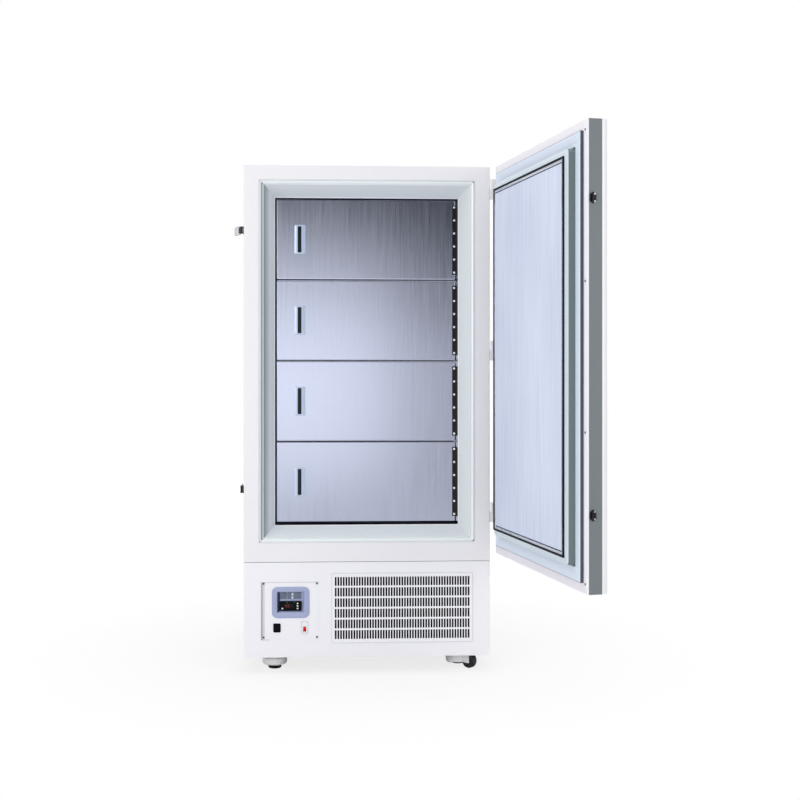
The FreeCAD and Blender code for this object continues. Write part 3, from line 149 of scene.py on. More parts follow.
class ShaderGroups:
    """Shader node groups that several finishes share, each built once."""

    @staticmethod
    def _group(name: str, inputs: dict[str, object], wire: Callable[[Tree, Given], dict]) -> Tree:
        """Build a group, or find it.

        Args:
            name: The group's name.
            inputs: Default value by input name.
            wire: Gets the group and its input sockets, and gives the output sockets by name.

        Returns:
            The group.
        """
        found = bpy.data.node_groups.get(name)
        if found:
            return found
        group = bpy.data.node_groups.new(name, "ShaderNodeTree")
        for socket, value in inputs.items():
            made = group.interface.new_socket(socket, in_out="INPUT", socket_type=SOCKETS[type(value)])
            made.default_value = value
        results = wire(group, group.nodes.new("NodeGroupInput").outputs)
        for socket in results:
            group.interface.new_socket(socket, in_out="OUTPUT", socket_type="NodeSocketFloat")
        end = group.nodes.new("NodeGroupOutput")
        for socket, value in results.items():
            group.links.new(value, end.inputs[socket])
        return group

    @staticmethod
    def _noise(group: Tree, scale: object, detail: float, roughness: float,
               at: Socket | None = None) -> Socket:
        """Noise over the object's own coordinates, or over others."""
        place = at or group.nodes.new("ShaderNodeTexCoord").outputs["Object"]
        return add(group, "ShaderNodeTexNoise", Vector=place, Scale=scale, Detail=detail,
                   Roughness=roughness).outputs["Fac"]

    @staticmethod
    def _ramp(group: Tree, value: Socket, **ends: object) -> Socket:
        """A value carried from one range to another."""
        return add(group, "ShaderNodeMapRange", Value=value, **ends).outputs["Result"]

    @classmethod
    def grain(cls) -> Tree:
        """A fine even grain of moulded plastic, cast metal or sprayed enamel, as a value and a height."""
        def wire(group: Tree, given: Given) -> dict[str, Socket]:
            noise = cls._noise(group, given["Scale"], 3.0, 0.55)
            return {"Value": cls._ramp(group, noise, To_Min=given["Low"], To_Max=given["High"]),
                    "Height": noise}
        return cls._group("Fine grain", {"Scale": 400.0, "Low": 0.3, "High": 0.4}, wire)

    @classmethod
    def brushing_and_reflection(cls) -> Tree:
        """Long fine scratches of a brushed sheet, with slow painted reflection over them, as a tone and a height.
        """
        def wire(group: Tree, given: Given) -> dict[str, Socket]:
            place = group.nodes.new("ShaderNodeTexCoord").outputs["Object"]
            stretched = add(group, "ShaderNodeMapping", Vector=place, Scale=given["Stretch"])
            scratches = cls._noise(group, given["Fineness"], 4.0, 0.7, stretched.outputs["Vector"])
            # Slow swells of painted reflection, laid over the scratches.
            painted_reflection = cls._noise(group, 2.4, 1.0, 0.4)
            mixed = add(group, "ShaderNodeMath", {"operation": "MULTIPLY_ADD"}, _0=painted_reflection, _1=0.45, _2=scratches)
            return {"Tone": mixed.outputs["Value"], "Height": scratches}
        return cls._group("Brushing", {"Stretch": Along.UPRIGHT.value, "Fineness": 14.0}, wire)

    @classmethod
    def dust(cls) -> Tree:
        """A thin uneven film that lies on what faces up, as a mask."""
        def wire(group: Tree, given: Given) -> dict[str, Socket]:
            shape = group.nodes.new("ShaderNodeNewGeometry")
            split = add(group, "ShaderNodeSeparateXYZ", Vector=shape.outputs["Normal"])
            upward = cls._ramp(group, split.outputs["Z"], From_Min=0.5, From_Max=1.0)
            uneven = times(group, cls._noise(group, given["Scale"], 5.0, 0.6), upward)
            return {"Mask": times(group, uneven, given["Amount"])}
        return cls._group("Settled dust", {"Amount": 0.2, "Scale": 9.0}, wire)

    @classmethod
    def edge_wear(cls) -> Tree:
        """Where a coat is rubbed thin along the edges, as a mask."""
        def wire(group: Tree, given: Given) -> dict[str, Socket]:
            rounded = add(group, "ShaderNodeBevel", Radius=0.0009)
            shape = group.nodes.new("ShaderNodeNewGeometry")
            apart = add(group, "ShaderNodeVectorMath", {"operation": "DOT_PRODUCT"},
                        _0=rounded.outputs["Normal"], _1=shape.outputs["Normal"])
            near = cls._ramp(group, apart.outputs["Value"], From_Min=0.995, From_Max=0.9)
            uneven = times(group, near, cls._noise(group, given["Scale"], 3.0, 0.6))
            return {"Mask": times(group, uneven, given["Amount"])}
        return cls._group("Edge wear", {"Amount": 0.3, "Scale": 60.0}, wire)

    @classmethod
    def painted_side_shade(cls) -> Tree:
        """Painted shade on a wall that looks to +X, full at its outer edge and gone by its inner edge, as a mask.
        """
        def wire(group: Tree, given: Given) -> dict[str, Socket]:
            shape = group.nodes.new("ShaderNodeNewGeometry")
            place = group.nodes.new("ShaderNodeTexCoord")
            facing = add(group, "ShaderNodeSeparateXYZ", Vector=shape.outputs["Normal"])
            along = add(group, "ShaderNodeSeparateXYZ", Vector=place.outputs["Object"])
            turned = cls._ramp(group, facing.outputs["X"], From_Min=0.1, From_Max=0.3)
            depth = cls._ramp(group, along.outputs["X"], From_Min=given["Outer"], From_Max=given["Inner"],
                              To_Min=1.0, To_Max=0.0)
            return {"Mask": times(group, turned, depth)}
        return cls._group("Side shade", {"Outer": -0.36, "Inner": -0.32}, wire)


@dataclass(frozen=True)
class Finish:
    """What every finish has: a name, and a material that is built once."""

    name: str

    def make(self) -> bpy.types.Material:
        """Build the material, or find it.

        Returns:
            The finish as a material.
        """
        found = bpy.data.materials.get(self.name)
        if found:
            return found
        material = bpy.data.materials.new(self.name)
        material.use_nodes = True
        tree = material.node_tree
        self._fill(tree, tree.nodes["Principled BSDF"])
        return material

    def _fill(self, tree: Tree, shader: Node) -> None:
        """Give the material's shader its inputs."""
        raise NotImplementedError


@dataclass(frozen=True)
class Coating(Finish):
    """An opaque finish with a fine grain: enamel, moulded plastic, rubber or foam."""

    tint: Tint
    roughness: float = 0.32
    spread: float = 0.06
    grain: float = 500.0
    bump: float = 0.02
    gloss: float = 0.5
    coat: float = 0.0
    metallic: float = 0.0
    dusty: float = 0.0
    worn: float = 0.0
    # Painted shade: a darker tint laid on walls that look to +X, fading along X from their outer edge to their
    # inner one.
    shade: Tint | None = None
    painted_shade_from: float = 0.0
    painted_shade_to: float = 0.0

    DUST: ClassVar[Tint] = (150, 146, 138)
    RUBBED: ClassVar[Tint] = (186, 188, 192)

    def _fill(self, tree: Tree, shader: Node) -> None:
        """Give the material's shader its inputs."""
        grain = add(tree, "ShaderNodeGroup", {"node_tree": ShaderGroups.grain()}, Scale=self.grain,
                    Low=self.roughness - self.spread, High=self.roughness + self.spread)
        bump = add(tree, "ShaderNodeBump", Strength=self.bump, Distance=0.0005, Height=grain.outputs["Height"])
        fill(tree, shader, Base_Color=colour(self.tint), Metallic=self.metallic, Specular_IOR_Level=self.gloss,
             Coat_Weight=self.coat, Coat_Roughness=0.08, Roughness=grain.outputs["Value"],
             Normal=bump.outputs["Normal"])
        if self.dusty:
            self._film(tree, shader, ShaderGroups.dust(), self.DUST, Amount=self.dusty)
        if self.worn:
            self._film(tree, shader, ShaderGroups.edge_wear(), self.RUBBED, Amount=self.worn)
        # Painted shade over walls that look to +X.
        if self.shade:
            self._film(tree, shader, ShaderGroups.painted_side_shade(), self.shade, Outer=self.painted_shade_from,
                       Inner=self.painted_shade_to)

    def _film(self, tree: Tree, shader: Node, group: Tree, tint: Tint,
              **values: float) -> None:
        """Lay another tint over the base by a group's mask.

        Args:
            tree: The material's tree.
            shader: The material's shader.
            group: The group that gives the mask.
            tint: The other tint.
            values: The group's inputs by name.
        """
        mask = add(tree, "ShaderNodeGroup", {"node_tree": group}, **values)
        film = add(tree, "ShaderNodeMix", {"data_type": "RGBA"}, A=colour(self.tint), B=colour(tint),
                   Factor=mask.outputs["Mask"])
        fill(tree, shader, Base_Color=film.outputs["Result"])


@dataclass(frozen=True)
class Brushed(Finish):
    """A bare metal sheet with long scratches."""

    dark: Tint
    light: Tint
    along: Along = Along.UPRIGHT
    roughness: float = 0.3
    bump: float = 0.05
    metallic: float = 1.0
    gloss: float = 0.5
    fineness: float = 14.0

    def _fill(self, tree: Tree, shader: Node) -> None:
        """Give the material's shader its inputs."""
        brushing_and_reflection = add(tree, "ShaderNodeGroup", {"node_tree": ShaderGroups.brushing_and_reflection()},
                       Stretch=self.along.value, Fineness=self.fineness)
        # The tone mixes the real scratches with slow swells of painted reflection.
        tone = add(tree, "ShaderNodeMix", {"data_type": "RGBA"}, A=colour(self.dark), B=colour(self.light),
                   Factor=brushing_and_reflection.outputs["Tone"])
        shine = add(tree, "ShaderNodeMapRange", Value=brushing_and_reflection.outputs["Tone"], From_Min=0.3, From_Max=1.1,
                    To_Min=self.roughness - 0.05, To_Max=self.roughness + 0.07)
        bump = add(tree, "ShaderNodeBump", Strength=self.bump, Distance=0.0003,
                   Height=brushing_and_reflection.outputs["Height"])
        fill(tree, shader, Base_Color=tone.outputs["Result"], Metallic=self.metallic,
             Specular_IOR_Level=self.gloss, Roughness=shine.outputs["Result"], Normal=bump.outputs["Normal"])


@dataclass(frozen=True)
class Lamp(Finish):
    """A face that gives its own light, such as a lit digit."""

    tint: Tint
    strength: float = 1.0

    def _fill(self, tree: Tree, shader: Node) -> None:
        """Give the material's shader its inputs."""
        fill(tree, shader, Base_Color=colour(self.tint), Roughness=0.3, Emission_Color=colour(self.tint),
             Emission_Strength=self.strength)


ENAMEL = Coating("white enamel", (233, 232, 235), roughness=0.3, grain=240, bump=0.012, coat=0.15, dusty=0.12)
PANEL_ENAMEL = Coating("panel enamel", (238, 237, 241), roughness=0.34, grain=300, bump=0.015)
# The throat's wall that looks to +X gets painted shade, darkest at its front edge.
THROAT_PLASTIC = Coating("throat plastic", (219, 224, 226), roughness=0.36, grain=380, bump=0.02,
                         shade=(132, 143, 150), painted_shade_from=-0.3570, painted_shade_to=-0.3370)
# The rim's left side gets painted shade.
RIM_PLASTIC = Coating("rim plastic", (232, 238, 240), roughness=0.25, grain=380, bump=0.01,
                      shade=(108, 120, 126), painted_shade_from=-0.3620, painted_shade_to=-0.3720)
BORDER_PLASTIC = Coating("door border plastic", (240, 237, 243), roughness=0.3, grain=380, bump=0.015)
PLUG_PLASTIC = Coating("door plug plastic", (213, 224, 231), roughness=0.32, grain=380, bump=0.015)
# Painted shade: a dark copy of the pale plug plastic for the plug's side.
PAINTED_PLUG_SHADE = Coating("door plug wall", (110, 123, 127), roughness=0.4, grain=380, bump=0.015)
# Painted shade: grey laid on the door's free edge.
EDGE_PAINTED_SHADE = Coating("edge moulding", (112, 119, 122), roughness=0.42, grain=300, bump=0.03)
GASKET = Coating("gasket rubber", (219, 229, 243), roughness=0.5, grain=900, bump=0.05)
# Painted shade: a dark copy of the gasket rubber for the gasket's outer side.
GASKET_PAINTED_SHADE = Coating("gasket side rubber", (70, 76, 90), roughness=0.55, grain=900, bump=0.05)
# Rubber of the dark gaskets; the same dark also serves as painted shade in grooves and gaps.
DARK_GASKET_AND_SHADE = Coating("dark gasket rubber", (20, 24, 38), roughness=0.6, grain=900, bump=0.05, gloss=0.12)
BLUE = Coating("pale blue moulding", (158, 167, 200), roughness=0.28, grain=420, bump=0.015, coat=0.2)
# Painted shadow: a dark copy of the blue moulding for the tray's left wall.
POCKET_SHADE = Coating("shaded blue moulding", (48, 55, 86), roughness=0.4, grain=420, bump=0.015)
CUP = Coating("pull cup", (30, 36, 48), roughness=0.4, grain=500, bump=0.01, metallic=0.2)
PULL = Coating("pull frame", (188, 202, 224), roughness=0.35, grain=500, bump=0.01, metallic=0.3)
# Grey for strips of painted shade along the control plate's edges, and for the alarm switch's thin outline.
PLATE_SHADE_AND_OUTLINE = Coating("plate hem", (170, 169, 174), roughness=0.35, grain=300, bump=0.01)
# Light grey for the grille's frame line, and for the lighter strip of painted shade on the control plate.
FRAME_LINE_AND_SHADE = Coating("grille frame line", (214, 213, 219), roughness=0.35, grain=300, bump=0.01)
LEVER = Coating("lever plating", (232, 234, 240), roughness=0.2, grain=500, bump=0.01, metallic=0.7)
WIRE = Coating("bail wire", (120, 124, 134), roughness=0.25, grain=500, bump=0.01, metallic=0.9)
BLACK = Coating("black moulding", (8, 9, 12), roughness=0.4, grain=500, bump=0.02, gloss=0.08)
WINDOW = Coating("smoked window", (6, 6, 8), roughness=0.16, spread=0.02, grain=300, bump=0.0, gloss=0.2)
# White plastic parts; as a strip on the throat's inner edge it is a painted highlight.
WHITE_AND_HIGHLIGHT = Coating("white moulding", (236, 236, 238), roughness=0.3, grain=500, bump=0.01)
RED = Coating("red moulding", (196, 22, 28), roughness=0.22, grain=400, bump=0.01, coat=0.3)
GREY_BLANK = Coating("grey blank", (98, 106, 127), roughness=0.3, grain=400, bump=0.01)
# Dark lacquered metal parts; on the levelling feet the same black is painted shade under the castor cowls.
DARK_METAL_AND_SHADE = Coating("black lacquer", (15, 16, 20), roughness=0.36, grain=500, bump=0.02, gloss=0.3, worn=0.15)
COMPRESSOR = Coating("compressor lacquer", (22, 23, 25), roughness=0.28, grain=260, bump=0.03, coat=0.2)
CASTOR = Coating("castor paint", (253, 253, 254), roughness=0.3, grain=600, bump=0.02, worn=0.3)
TYRE = Coating("hard rubber tyre", (22, 23, 26), roughness=0.46, grain=900, bump=0.06)
FOAM = Coating("rigid foam", (214, 196, 150), roughness=0.85, grain=700, bump=0.3, gloss=0.2)
SCREW = Coating("zinc screw", (196, 200, 206), roughness=0.26, grain=900, bump=0.01, metallic=1.0)
DARK_SCREW = Coating("dark screw", (70, 72, 78), roughness=0.35, grain=900, bump=0.01, metallic=0.8)
SCREW_CAP = Coating("bright screw", (240, 241, 245), roughness=0.25, grain=900, bump=0.01, metallic=0.2)
POLISHED = Coating("polished steel", (206, 210, 216), roughness=0.16, spread=0.03, grain=500, bump=0.005,
                   metallic=1.0)
COPPER = Coating("copper tube", (178, 108, 78), roughness=0.3, grain=400, bump=0.02, metallic=1.0)
# Painted shade: near-black for the machine bay behind the grille.
BAY_PAINTED_SHADE = Coating("bay lacquer", (10, 10, 12), roughness=0.7, grain=300, bump=0.02, gloss=0.05)
STUDIO_BOARD = Coating("studio board", (26, 28, 36), roughness=0.8, grain=4, gloss=0.1)
# Painted shade: near-black fins, so the grille's slots read dark.
FINS_PAINTED_SHADE = Brushed("lacquered fins", (5, 5, 6), (10, 10, 12), Along.DEEP, roughness=0.8, metallic=0.0, gloss=0.05)
INNER_STEEL = Brushed("inner door steel", (162, 168, 190), (192, 197, 215), roughness=0.21, bump=0.01,
                      fineness=4.0)
LINER_STEEL = Brushed("liner steel", (160, 168, 180), (206, 212, 222), roughness=0.26)
DOOR_STEEL = Brushed("door panel steel", (166, 178, 206), (226, 232, 247), roughness=0.8, bump=0.03,
                     metallic=0.0, gloss=0.05, fineness=2.4)
DIGIT = Lamp("red digit", (128, 20, 28), 0.5)
GREEN_LED = Lamp("green lamp", (70, 150, 90), 0.5)


@dataclass(frozen=True)
class Loop:
    """A rounded rectangle at a depth, facing -Y: one step of a stepped form."""

    left: float
    right: float
    low: float
    top: float
    depth: float
    corner: float = 0.0

    def inset(self, inset: float, depth: float, corner: float | None = None) -> "Loop":
        """The same rectangle, drawn in by an inset at another depth."""
        return Loop(self.left + inset, self.right - inset, self.low + inset, self.top - inset, depth,
                    self.corner if corner is None else corner)

    def steps(self, base: float, table: Iterable[Step]) -> list["Loop"]:
        """Draw the rectangle in once for each row of a table.

        Args:
            base: The depth from which the rows count.
            table: Inset, depth and, where it changes, corner of each step.

        Returns:
            The rectangles in order.
        """
        return [self.inset(row[0], base + row[1], *row[2:]) for row in table]

    def points(self, arc: int) -> list[Vector]:
        """Points round the rectangle, with arc + 1 of them at each corner."""
        reach = max(min(self.corner, (self.right - self.left) / 2, (self.top - self.low) / 2), 1e-5)
        found = []
        for centre_x, centre_z, start in ((self.right - reach, self.top - reach, 0),
                                          (self.left + reach, self.top - reach, 90),
                                          (self.left + reach, self.low + reach, 180),
                                          (self.right - reach, self.low + reach, 270)):
            for step in range(arc + 1):
                turn = math.radians(start + 90 * step / arc)
                found.append(Vector((centre_x + reach * math.cos(turn), self.depth,
                                     centre_z + reach * math.sin(turn))))
        return found


class Draft:
    """A mesh in the making, in the frame's metres."""

    def __init__(self) -> None:
        """Start empty."""
        self.mesh = bmesh.new()

    def _row(self, points: Iterable[Vector | Point]) -> list[bmesh.types.BMVert]:
        """Add one row of points."""
        return [self.mesh.verts.new(point) for point in points]

    def _join(self, rows: Sequence[Sequence[bmesh.types.BMVert]], caps: bool) -> "Draft":
        """Join closed rows one after another and, if asked, cap both ends."""
        for near, far in zip(rows, rows[1:]):
            for i in range(len(near)):
                j = (i + 1) % len(near)
                self.mesh.faces.new((near[i], near[j], far[j], far[i]))
        if caps:
            self.mesh.faces.new(rows[0])
            self.mesh.faces.new(list(reversed(rows[-1])))
        return self

    def stepped(self, loops: Sequence[Loop], arc: int = 4, ring: bool = False) -> "Draft":
        """Join rectangles one after another into a closed form.

        Args:
            loops: The rectangles, in order.
            arc: Segments in each corner.
            ring: Whether the last joins the first; otherwise both ends are capped.

        Returns:
            The draft itself.
        """
        rows = [self._row(loop.points(arc)) for loop in loops]
        return self._join(rows + rows[:1] if ring else rows, not ring)

    def swept(self, profile: Profile, place: Matrix, start: float, stop: float, segments: int = 28) -> "Draft":
        """Turn a closed profile about +Z through part of a circle, with flat ends.

        Args:
            profile: Radius and height of each point.
            place: Where the form goes.
            start: The first angle in degrees.
            stop: The last angle in degrees.
            segments: Segments from one end to the other.

        Returns:
            The draft itself.
        """
        rows = []
        for step in range(segments + 1):
            turn = math.radians(start + (stop - start) * step / segments)
            rows.append(self._row(place @ Vector((radius * math.cos(turn), radius * math.sin(turn), height))
                                  for radius, height in profile))
        return self._join(rows, True)

    def turned(self, profile: Profile, place: Matrix, segments: int = 48, ring: bool = False) -> "Draft":
        """Turn a profile about +Z and put it in place.

        Args:
            profile: Radius and height of each point.
            place: Where the turned form goes.
            segments: Segments round the axis.
            ring: Whether the profile closes on itself.

        Returns:
            The draft itself.
        """
        rows = []
        for radius, height in profile:
            turns = [2 * math.pi * i / segments for i in range(segments if radius > 1e-7 else 1)]
            rows.append(self._row(place @ Vector((radius * math.cos(turn), radius * math.sin(turn), height))
                                  for turn in turns))
        for near, far in zip(rows, rows[1:] + (rows[:1] if ring else [])):
            for i in range(segments):
                j = (i + 1) % segments
                corners = [near[i % len(near)], near[j % len(near)], far[j % len(far)], far[i % len(far)]]
                unique = list(dict.fromkeys(corners))
                if len(unique) > 2:
                    self.mesh.faces.new(unique)
        return self

    def prism(self, outline: Profile, low: float, high: float) -> "Draft":
        """Raise an outline in X and Y from a low to a high level."""
        return self._join([self._row((x, y, z) for x, y in outline) for z in (low, high)], True)

    def box(self, low: Point, high: Point) -> "Draft":
        """Add a box between two corners."""
        size = [b - a for a, b in zip(low, high)]
        middle = [(a + b) / 2 for a, b in zip(low, high)]
        bmesh.ops.create_cube(self.mesh, size=1.0, matrix=Matrix.Translation(middle) @ Matrix.Diagonal((*size, 1)))
        return self

    def take(self, mesh: bpy.types.Mesh, place: Matrix | None = None) -> "Draft":
        """Add a finished mesh, put in place, and drop the mesh."""
        if place is not None:
            mesh.transform(place)
        self.mesh.from_mesh(mesh)
        bpy.data.meshes.remove(mesh)
        return self

    def piece(self, name: str, body: str, finish: Finish, slot: str, replaces: Iterable[str] = (),
              place: Matrix | None = None, bevel: float = 0.0, smooth: float = 35.0) -> Thing:
        """Turn the draft into a piece of the object.

        Args:
            name: The piece's name.
            body: The moving body that it rides on.
            finish: Its finish.
            slot: The record's material slot; not used.
            replaces: Solids that it stands for.
            place: A turn and shift for the whole mesh.
            bevel: Width of the rounding of its sharp edges, if any.
            smooth: The angle in degrees under which neighbouring faces shade as one.

        Returns:
            The piece.
        """
        bmesh.ops.remove_doubles(self.mesh, verts=self.mesh.verts, dist=WELD)
        if bevel:
            sharp = [edge for edge in self.mesh.edges if edge.is_manifold and edge.calc_face_angle(0) > SHARP]
            bmesh.ops.bevel(self.mesh, geom=sharp, offset=bevel, segments=2, profile=0.5, affect="EDGES",
                            clamp_overlap=True)
        bmesh.ops.recalc_face_normals(self.mesh, faces=self.mesh.faces)
        mesh = bpy.data.meshes.new(name)
        self.mesh.to_mesh(mesh)
        self.mesh.free()
        if place is not None:
            mesh.transform(place)
        mesh.materials.append(finish.make())
        mesh.shade_smooth()
        mesh.set_sharp_from_angle(angle=math.radians(smooth))
        found = stand(name, mesh)
        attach(found, body)
        nodes = list(replaces)
        if nodes:
            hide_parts(*nodes)
        LOG.info("%s: %d faces on %s", name, len(mesh.polygons), body)
        return found


def band(name: str, body: str, finish: Finish, slot: str, loops: Sequence[Loop], arc: int = 4,
         ring: bool = True, **rest: object) -> Thing:
    """Make a piece from rectangles.

    Args:
        name: The piece's name.
        body: The moving body that it rides on.
        finish: Its finish.
        slot: The record's material slot.
        loops: The rectangles, in order.
        arc: Segments in each corner.
        ring: Whether the last joins the first.
        rest: What else Draft.piece() gets.

    Returns:
        The piece.
    """
    return Draft().stepped(loops, arc, ring).piece(name, body, finish, slot, **rest)


def dress(finish: Finish, *nodes: str) -> None:
    """Give carried-over solids a finish.

    Args:
        finish: The finish.
        nodes: The solids' names.
    """
    for name in nodes:
        solid = frame["nodes"][name]
        solid.data.materials.clear()
        solid.data.materials.append(finish.make())


def towards(axis: Point, at: Point) -> Matrix:
    """A place at a point whose +Z looks along an axis."""
    return Matrix.Translation(at) @ Vector(axis).to_track_quat("Z", "Y").to_matrix().to_4x4()


def button(profile: Profile, at: Point, segments: int, draft: Draft) -> None:
    """Turn a small button that looks to the front, and add it to a draft."""
    draft.turned(profile, towards((0, -1, 0), at), segments=segments)


class GrowthTree:
    """A Geometry Nodes tree that is built once, run with sizes and turned into plain meshes."""

    def __init__(self, name: str, inputs: dict[str, object]) -> None:
        """Start a tree with named inputs.

        Args:
            name: The tree's name.
            inputs: Default value by name.
        """
        self.tree = bpy.data.node_groups.new(name, "GeometryNodeTree")
        self.sockets = {}
        for socket, value in inputs.items():
            made = self.tree.interface.new_socket(socket, in_out="INPUT", socket_type=SOCKETS[type(value)])
            made.default_value = value
            self.sockets[socket] = made.identifier
        finish = self.tree.interface.new_socket("Finish", in_out="INPUT", socket_type="NodeSocketMaterial")
        self.sockets["Finish"] = finish.identifier
        self.tree.interface.new_socket("Geometry", in_out="OUTPUT", socket_type="NodeSocketGeometry")
        self.given = self.tree.nodes.new("NodeGroupInput").outputs
        self.end = self.tree.nodes.new("NodeGroupOutput")

    def add(self, kind: str, settings: dict[str, object] | None = None, **values: object) -> Socket:
        """Add a node and give its first output."""
        return add(self.tree, kind, settings, **values).outputs[0]

    def join(self, *parts: Socket) -> Socket:
        """Several geometries as one."""
        node = self.tree.nodes.new("GeometryNodeJoinGeometry")
        for part in parts:
            self.tree.links.new(part, node.inputs[0])
        return node.outputs[0]

    def close(self, geometry: Socket) -> None:
        """End the tree: instances become real, and the finish is set."""
        real = self.add("GeometryNodeRealizeInstances", Geometry=geometry)
        dressed = self.add("GeometryNodeSetMaterial", Geometry=real, Material=self.given["Finish"])
        self.tree.links.new(dressed, self.end.inputs[0])

    def grow(self, finish: Finish, **values: object) -> bpy.types.Mesh:
        """Run the tree.

        Args:
            finish: The finish of what it makes.
            values: Sizes by input name, with spaces as underscores.

        Returns:
            A plain mesh.
        """
        holder = stand("holder", bpy.data.meshes.new("holder"))
        modifier = holder.modifiers.new("Growth", "NODES")
        modifier.node_group = self.tree
        modifier[self.sockets["Finish"]] = finish.make()
        for name, value in values.items():
            modifier[self.sockets[name.replace("_", " ")]] = value
        graph = bpy.context.evaluated_depsgraph_get()
        graph.update()
        mesh = bpy.data.meshes.new_from_object(holder.evaluated_get(graph))
        holder.modifiers.clear()
        bpy.data.objects.remove(holder)
        return mesh


class ScrewRow(GrowthTree):
    """A row of socket-head screws, evenly spaced along a line."""

    def __init__(self) -> None:
        """Build the tree."""
        super().__init__("Screw row", {"Count": 4, "Start": (0, 0, 0), "Step": (0, 0, 0.05), "Radius": 0.004,
                                       "Height": 0.002, "Turn": (0, 0, 0)})
        given = self.given
        head = self.add("GeometryNodeMeshCylinder", Vertices=20, Radius=given["Radius"], Depth=given["Height"])
        socket = self.add("GeometryNodeMeshCylinder", Vertices=6, Radius=times(self.tree, given["Radius"], 0.5),
                          Depth=given["Height"])
        lift = self.add("ShaderNodeCombineXYZ", Z=times(self.tree, given["Height"], 0.5))
        raised = self.add("GeometryNodeTransform", Geometry=socket, Translation=lift)
        cut = self.add("GeometryNodeMeshBoolean", {"operation": "DIFFERENCE"}, _0=head, _1=raised)
        line = self.add("GeometryNodeMeshLine", Count=given["Count"], Start_Location=given["Start"],
                        Offset=given["Step"])
        self.close(self.add("GeometryNodeInstanceOnPoints", Points=line, Instance=cut, Rotation=given["Turn"]))

    def heads(self, finish: Finish, start: Point, step: Point, count: int, facing: Point, radius: float,
              height: float) -> bpy.types.Mesh:
        """Make one row of heads.

        Args:
            finish: The screws' finish.
            start: The first head's centre.
            step: The way from each head to the next.
            count: How many there are.
            facing: The direction in which the heads look.
            radius: A head's radius.
            height: A head's height.

        Returns:
            The row as one mesh.
        """
        turn = Vector(facing).to_track_quat("Z", "Y").to_euler()
        return self.grow(finish, Count=count, Start=start, Step=step, Radius=radius, Height=height,
                         Turn=tuple(turn))


class SlottedSheet(GrowthTree):
    """A flat sheet with rows of slots, lying in the XY plane round the origin."""

    def __init__(self) -> None:
        """Build the tree."""
        super().__init__("Slotted sheet", {
            "Columns": 51, "Rows": 6, "Field Width": 0.46, "Field Height": 0.1835, "Slot Width": 0.005,
            "Slot Height": 0.0307, "Sheet Width": 0.49, "Sheet Height": 0.242, "Thickness": 0.0015,
            "Corner": 0.0015})
        given = self.given
        grid = self.add("GeometryNodeMeshGrid", Size_X=given["Field Width"], Size_Y=given["Field Height"],
                        Vertices_X=given["Columns"], Vertices_Y=given["Rows"])
        slot = self.add("GeometryNodeCurvePrimitiveQuadrilateral", Width=given["Slot Width"],
                        Height=given["Slot Height"])
        rounded = self.add("GeometryNodeFilletCurve", {"mode": "POLY"}, _0=slot, Count=3,
                           Radius=given["Corner"])
        slots = self.add("GeometryNodeInstanceOnPoints", Points=grid, Instance=rounded)
        border = self.add("GeometryNodeCurvePrimitiveQuadrilateral", Width=given["Sheet Width"],
                          Height=given["Sheet Height"])
        filled = self.add("GeometryNodeFillCurve", Curve=self.join(
            self.add("GeometryNodeRealizeInstances", Geometry=slots), border))
        raised = self.add("GeometryNodeExtrudeMesh", _0=filled, Individual=False,
                          Offset_Scale=given["Thickness"])
        back = self.add("GeometryNodeFlipFaces", Mesh=filled)
        self.close(self.add("GeometryNodeMergeByDistance", Geometry=self.join(raised, back), Distance=WELD))


def tube_along(points: Sequence[Point], radius: float, name: str) -> bpy.types.Mesh:
    """A round bar bent along points.

    Args:
        points: The middle line's points.
        radius: The bar's radius.
        name: A name for the curve while it is made.

    Returns:
        A plain mesh.
    """
    curve = bpy.data.curves.new(name, "CURVE")
    curve.dimensions = "3D"
    curve.bevel_depth = radius
    curve.bevel_resolution = 4
    curve.use_fill_caps = True
    spline = curve.splines.new("POLY")
    spline.points.add(len(points) - 1)
    for knot, point in zip(spline.points, points):
        knot.co = (*point, 1.0)
    holder = stand(name, curve)
    mesh = bpy.data.meshes.new_from_object(holder.evaluated_get(bpy.context.evaluated_depsgraph_get()))
    bpy.data.objects.remove(holder)
    bpy.data.curves.remove(curve)
    return mesh


def joint(name: str) -> dict:
    """The record of a joint."""
    return next(found for found in frame["joints"] if found["name"] == name)


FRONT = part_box("outer_shell")[0].y


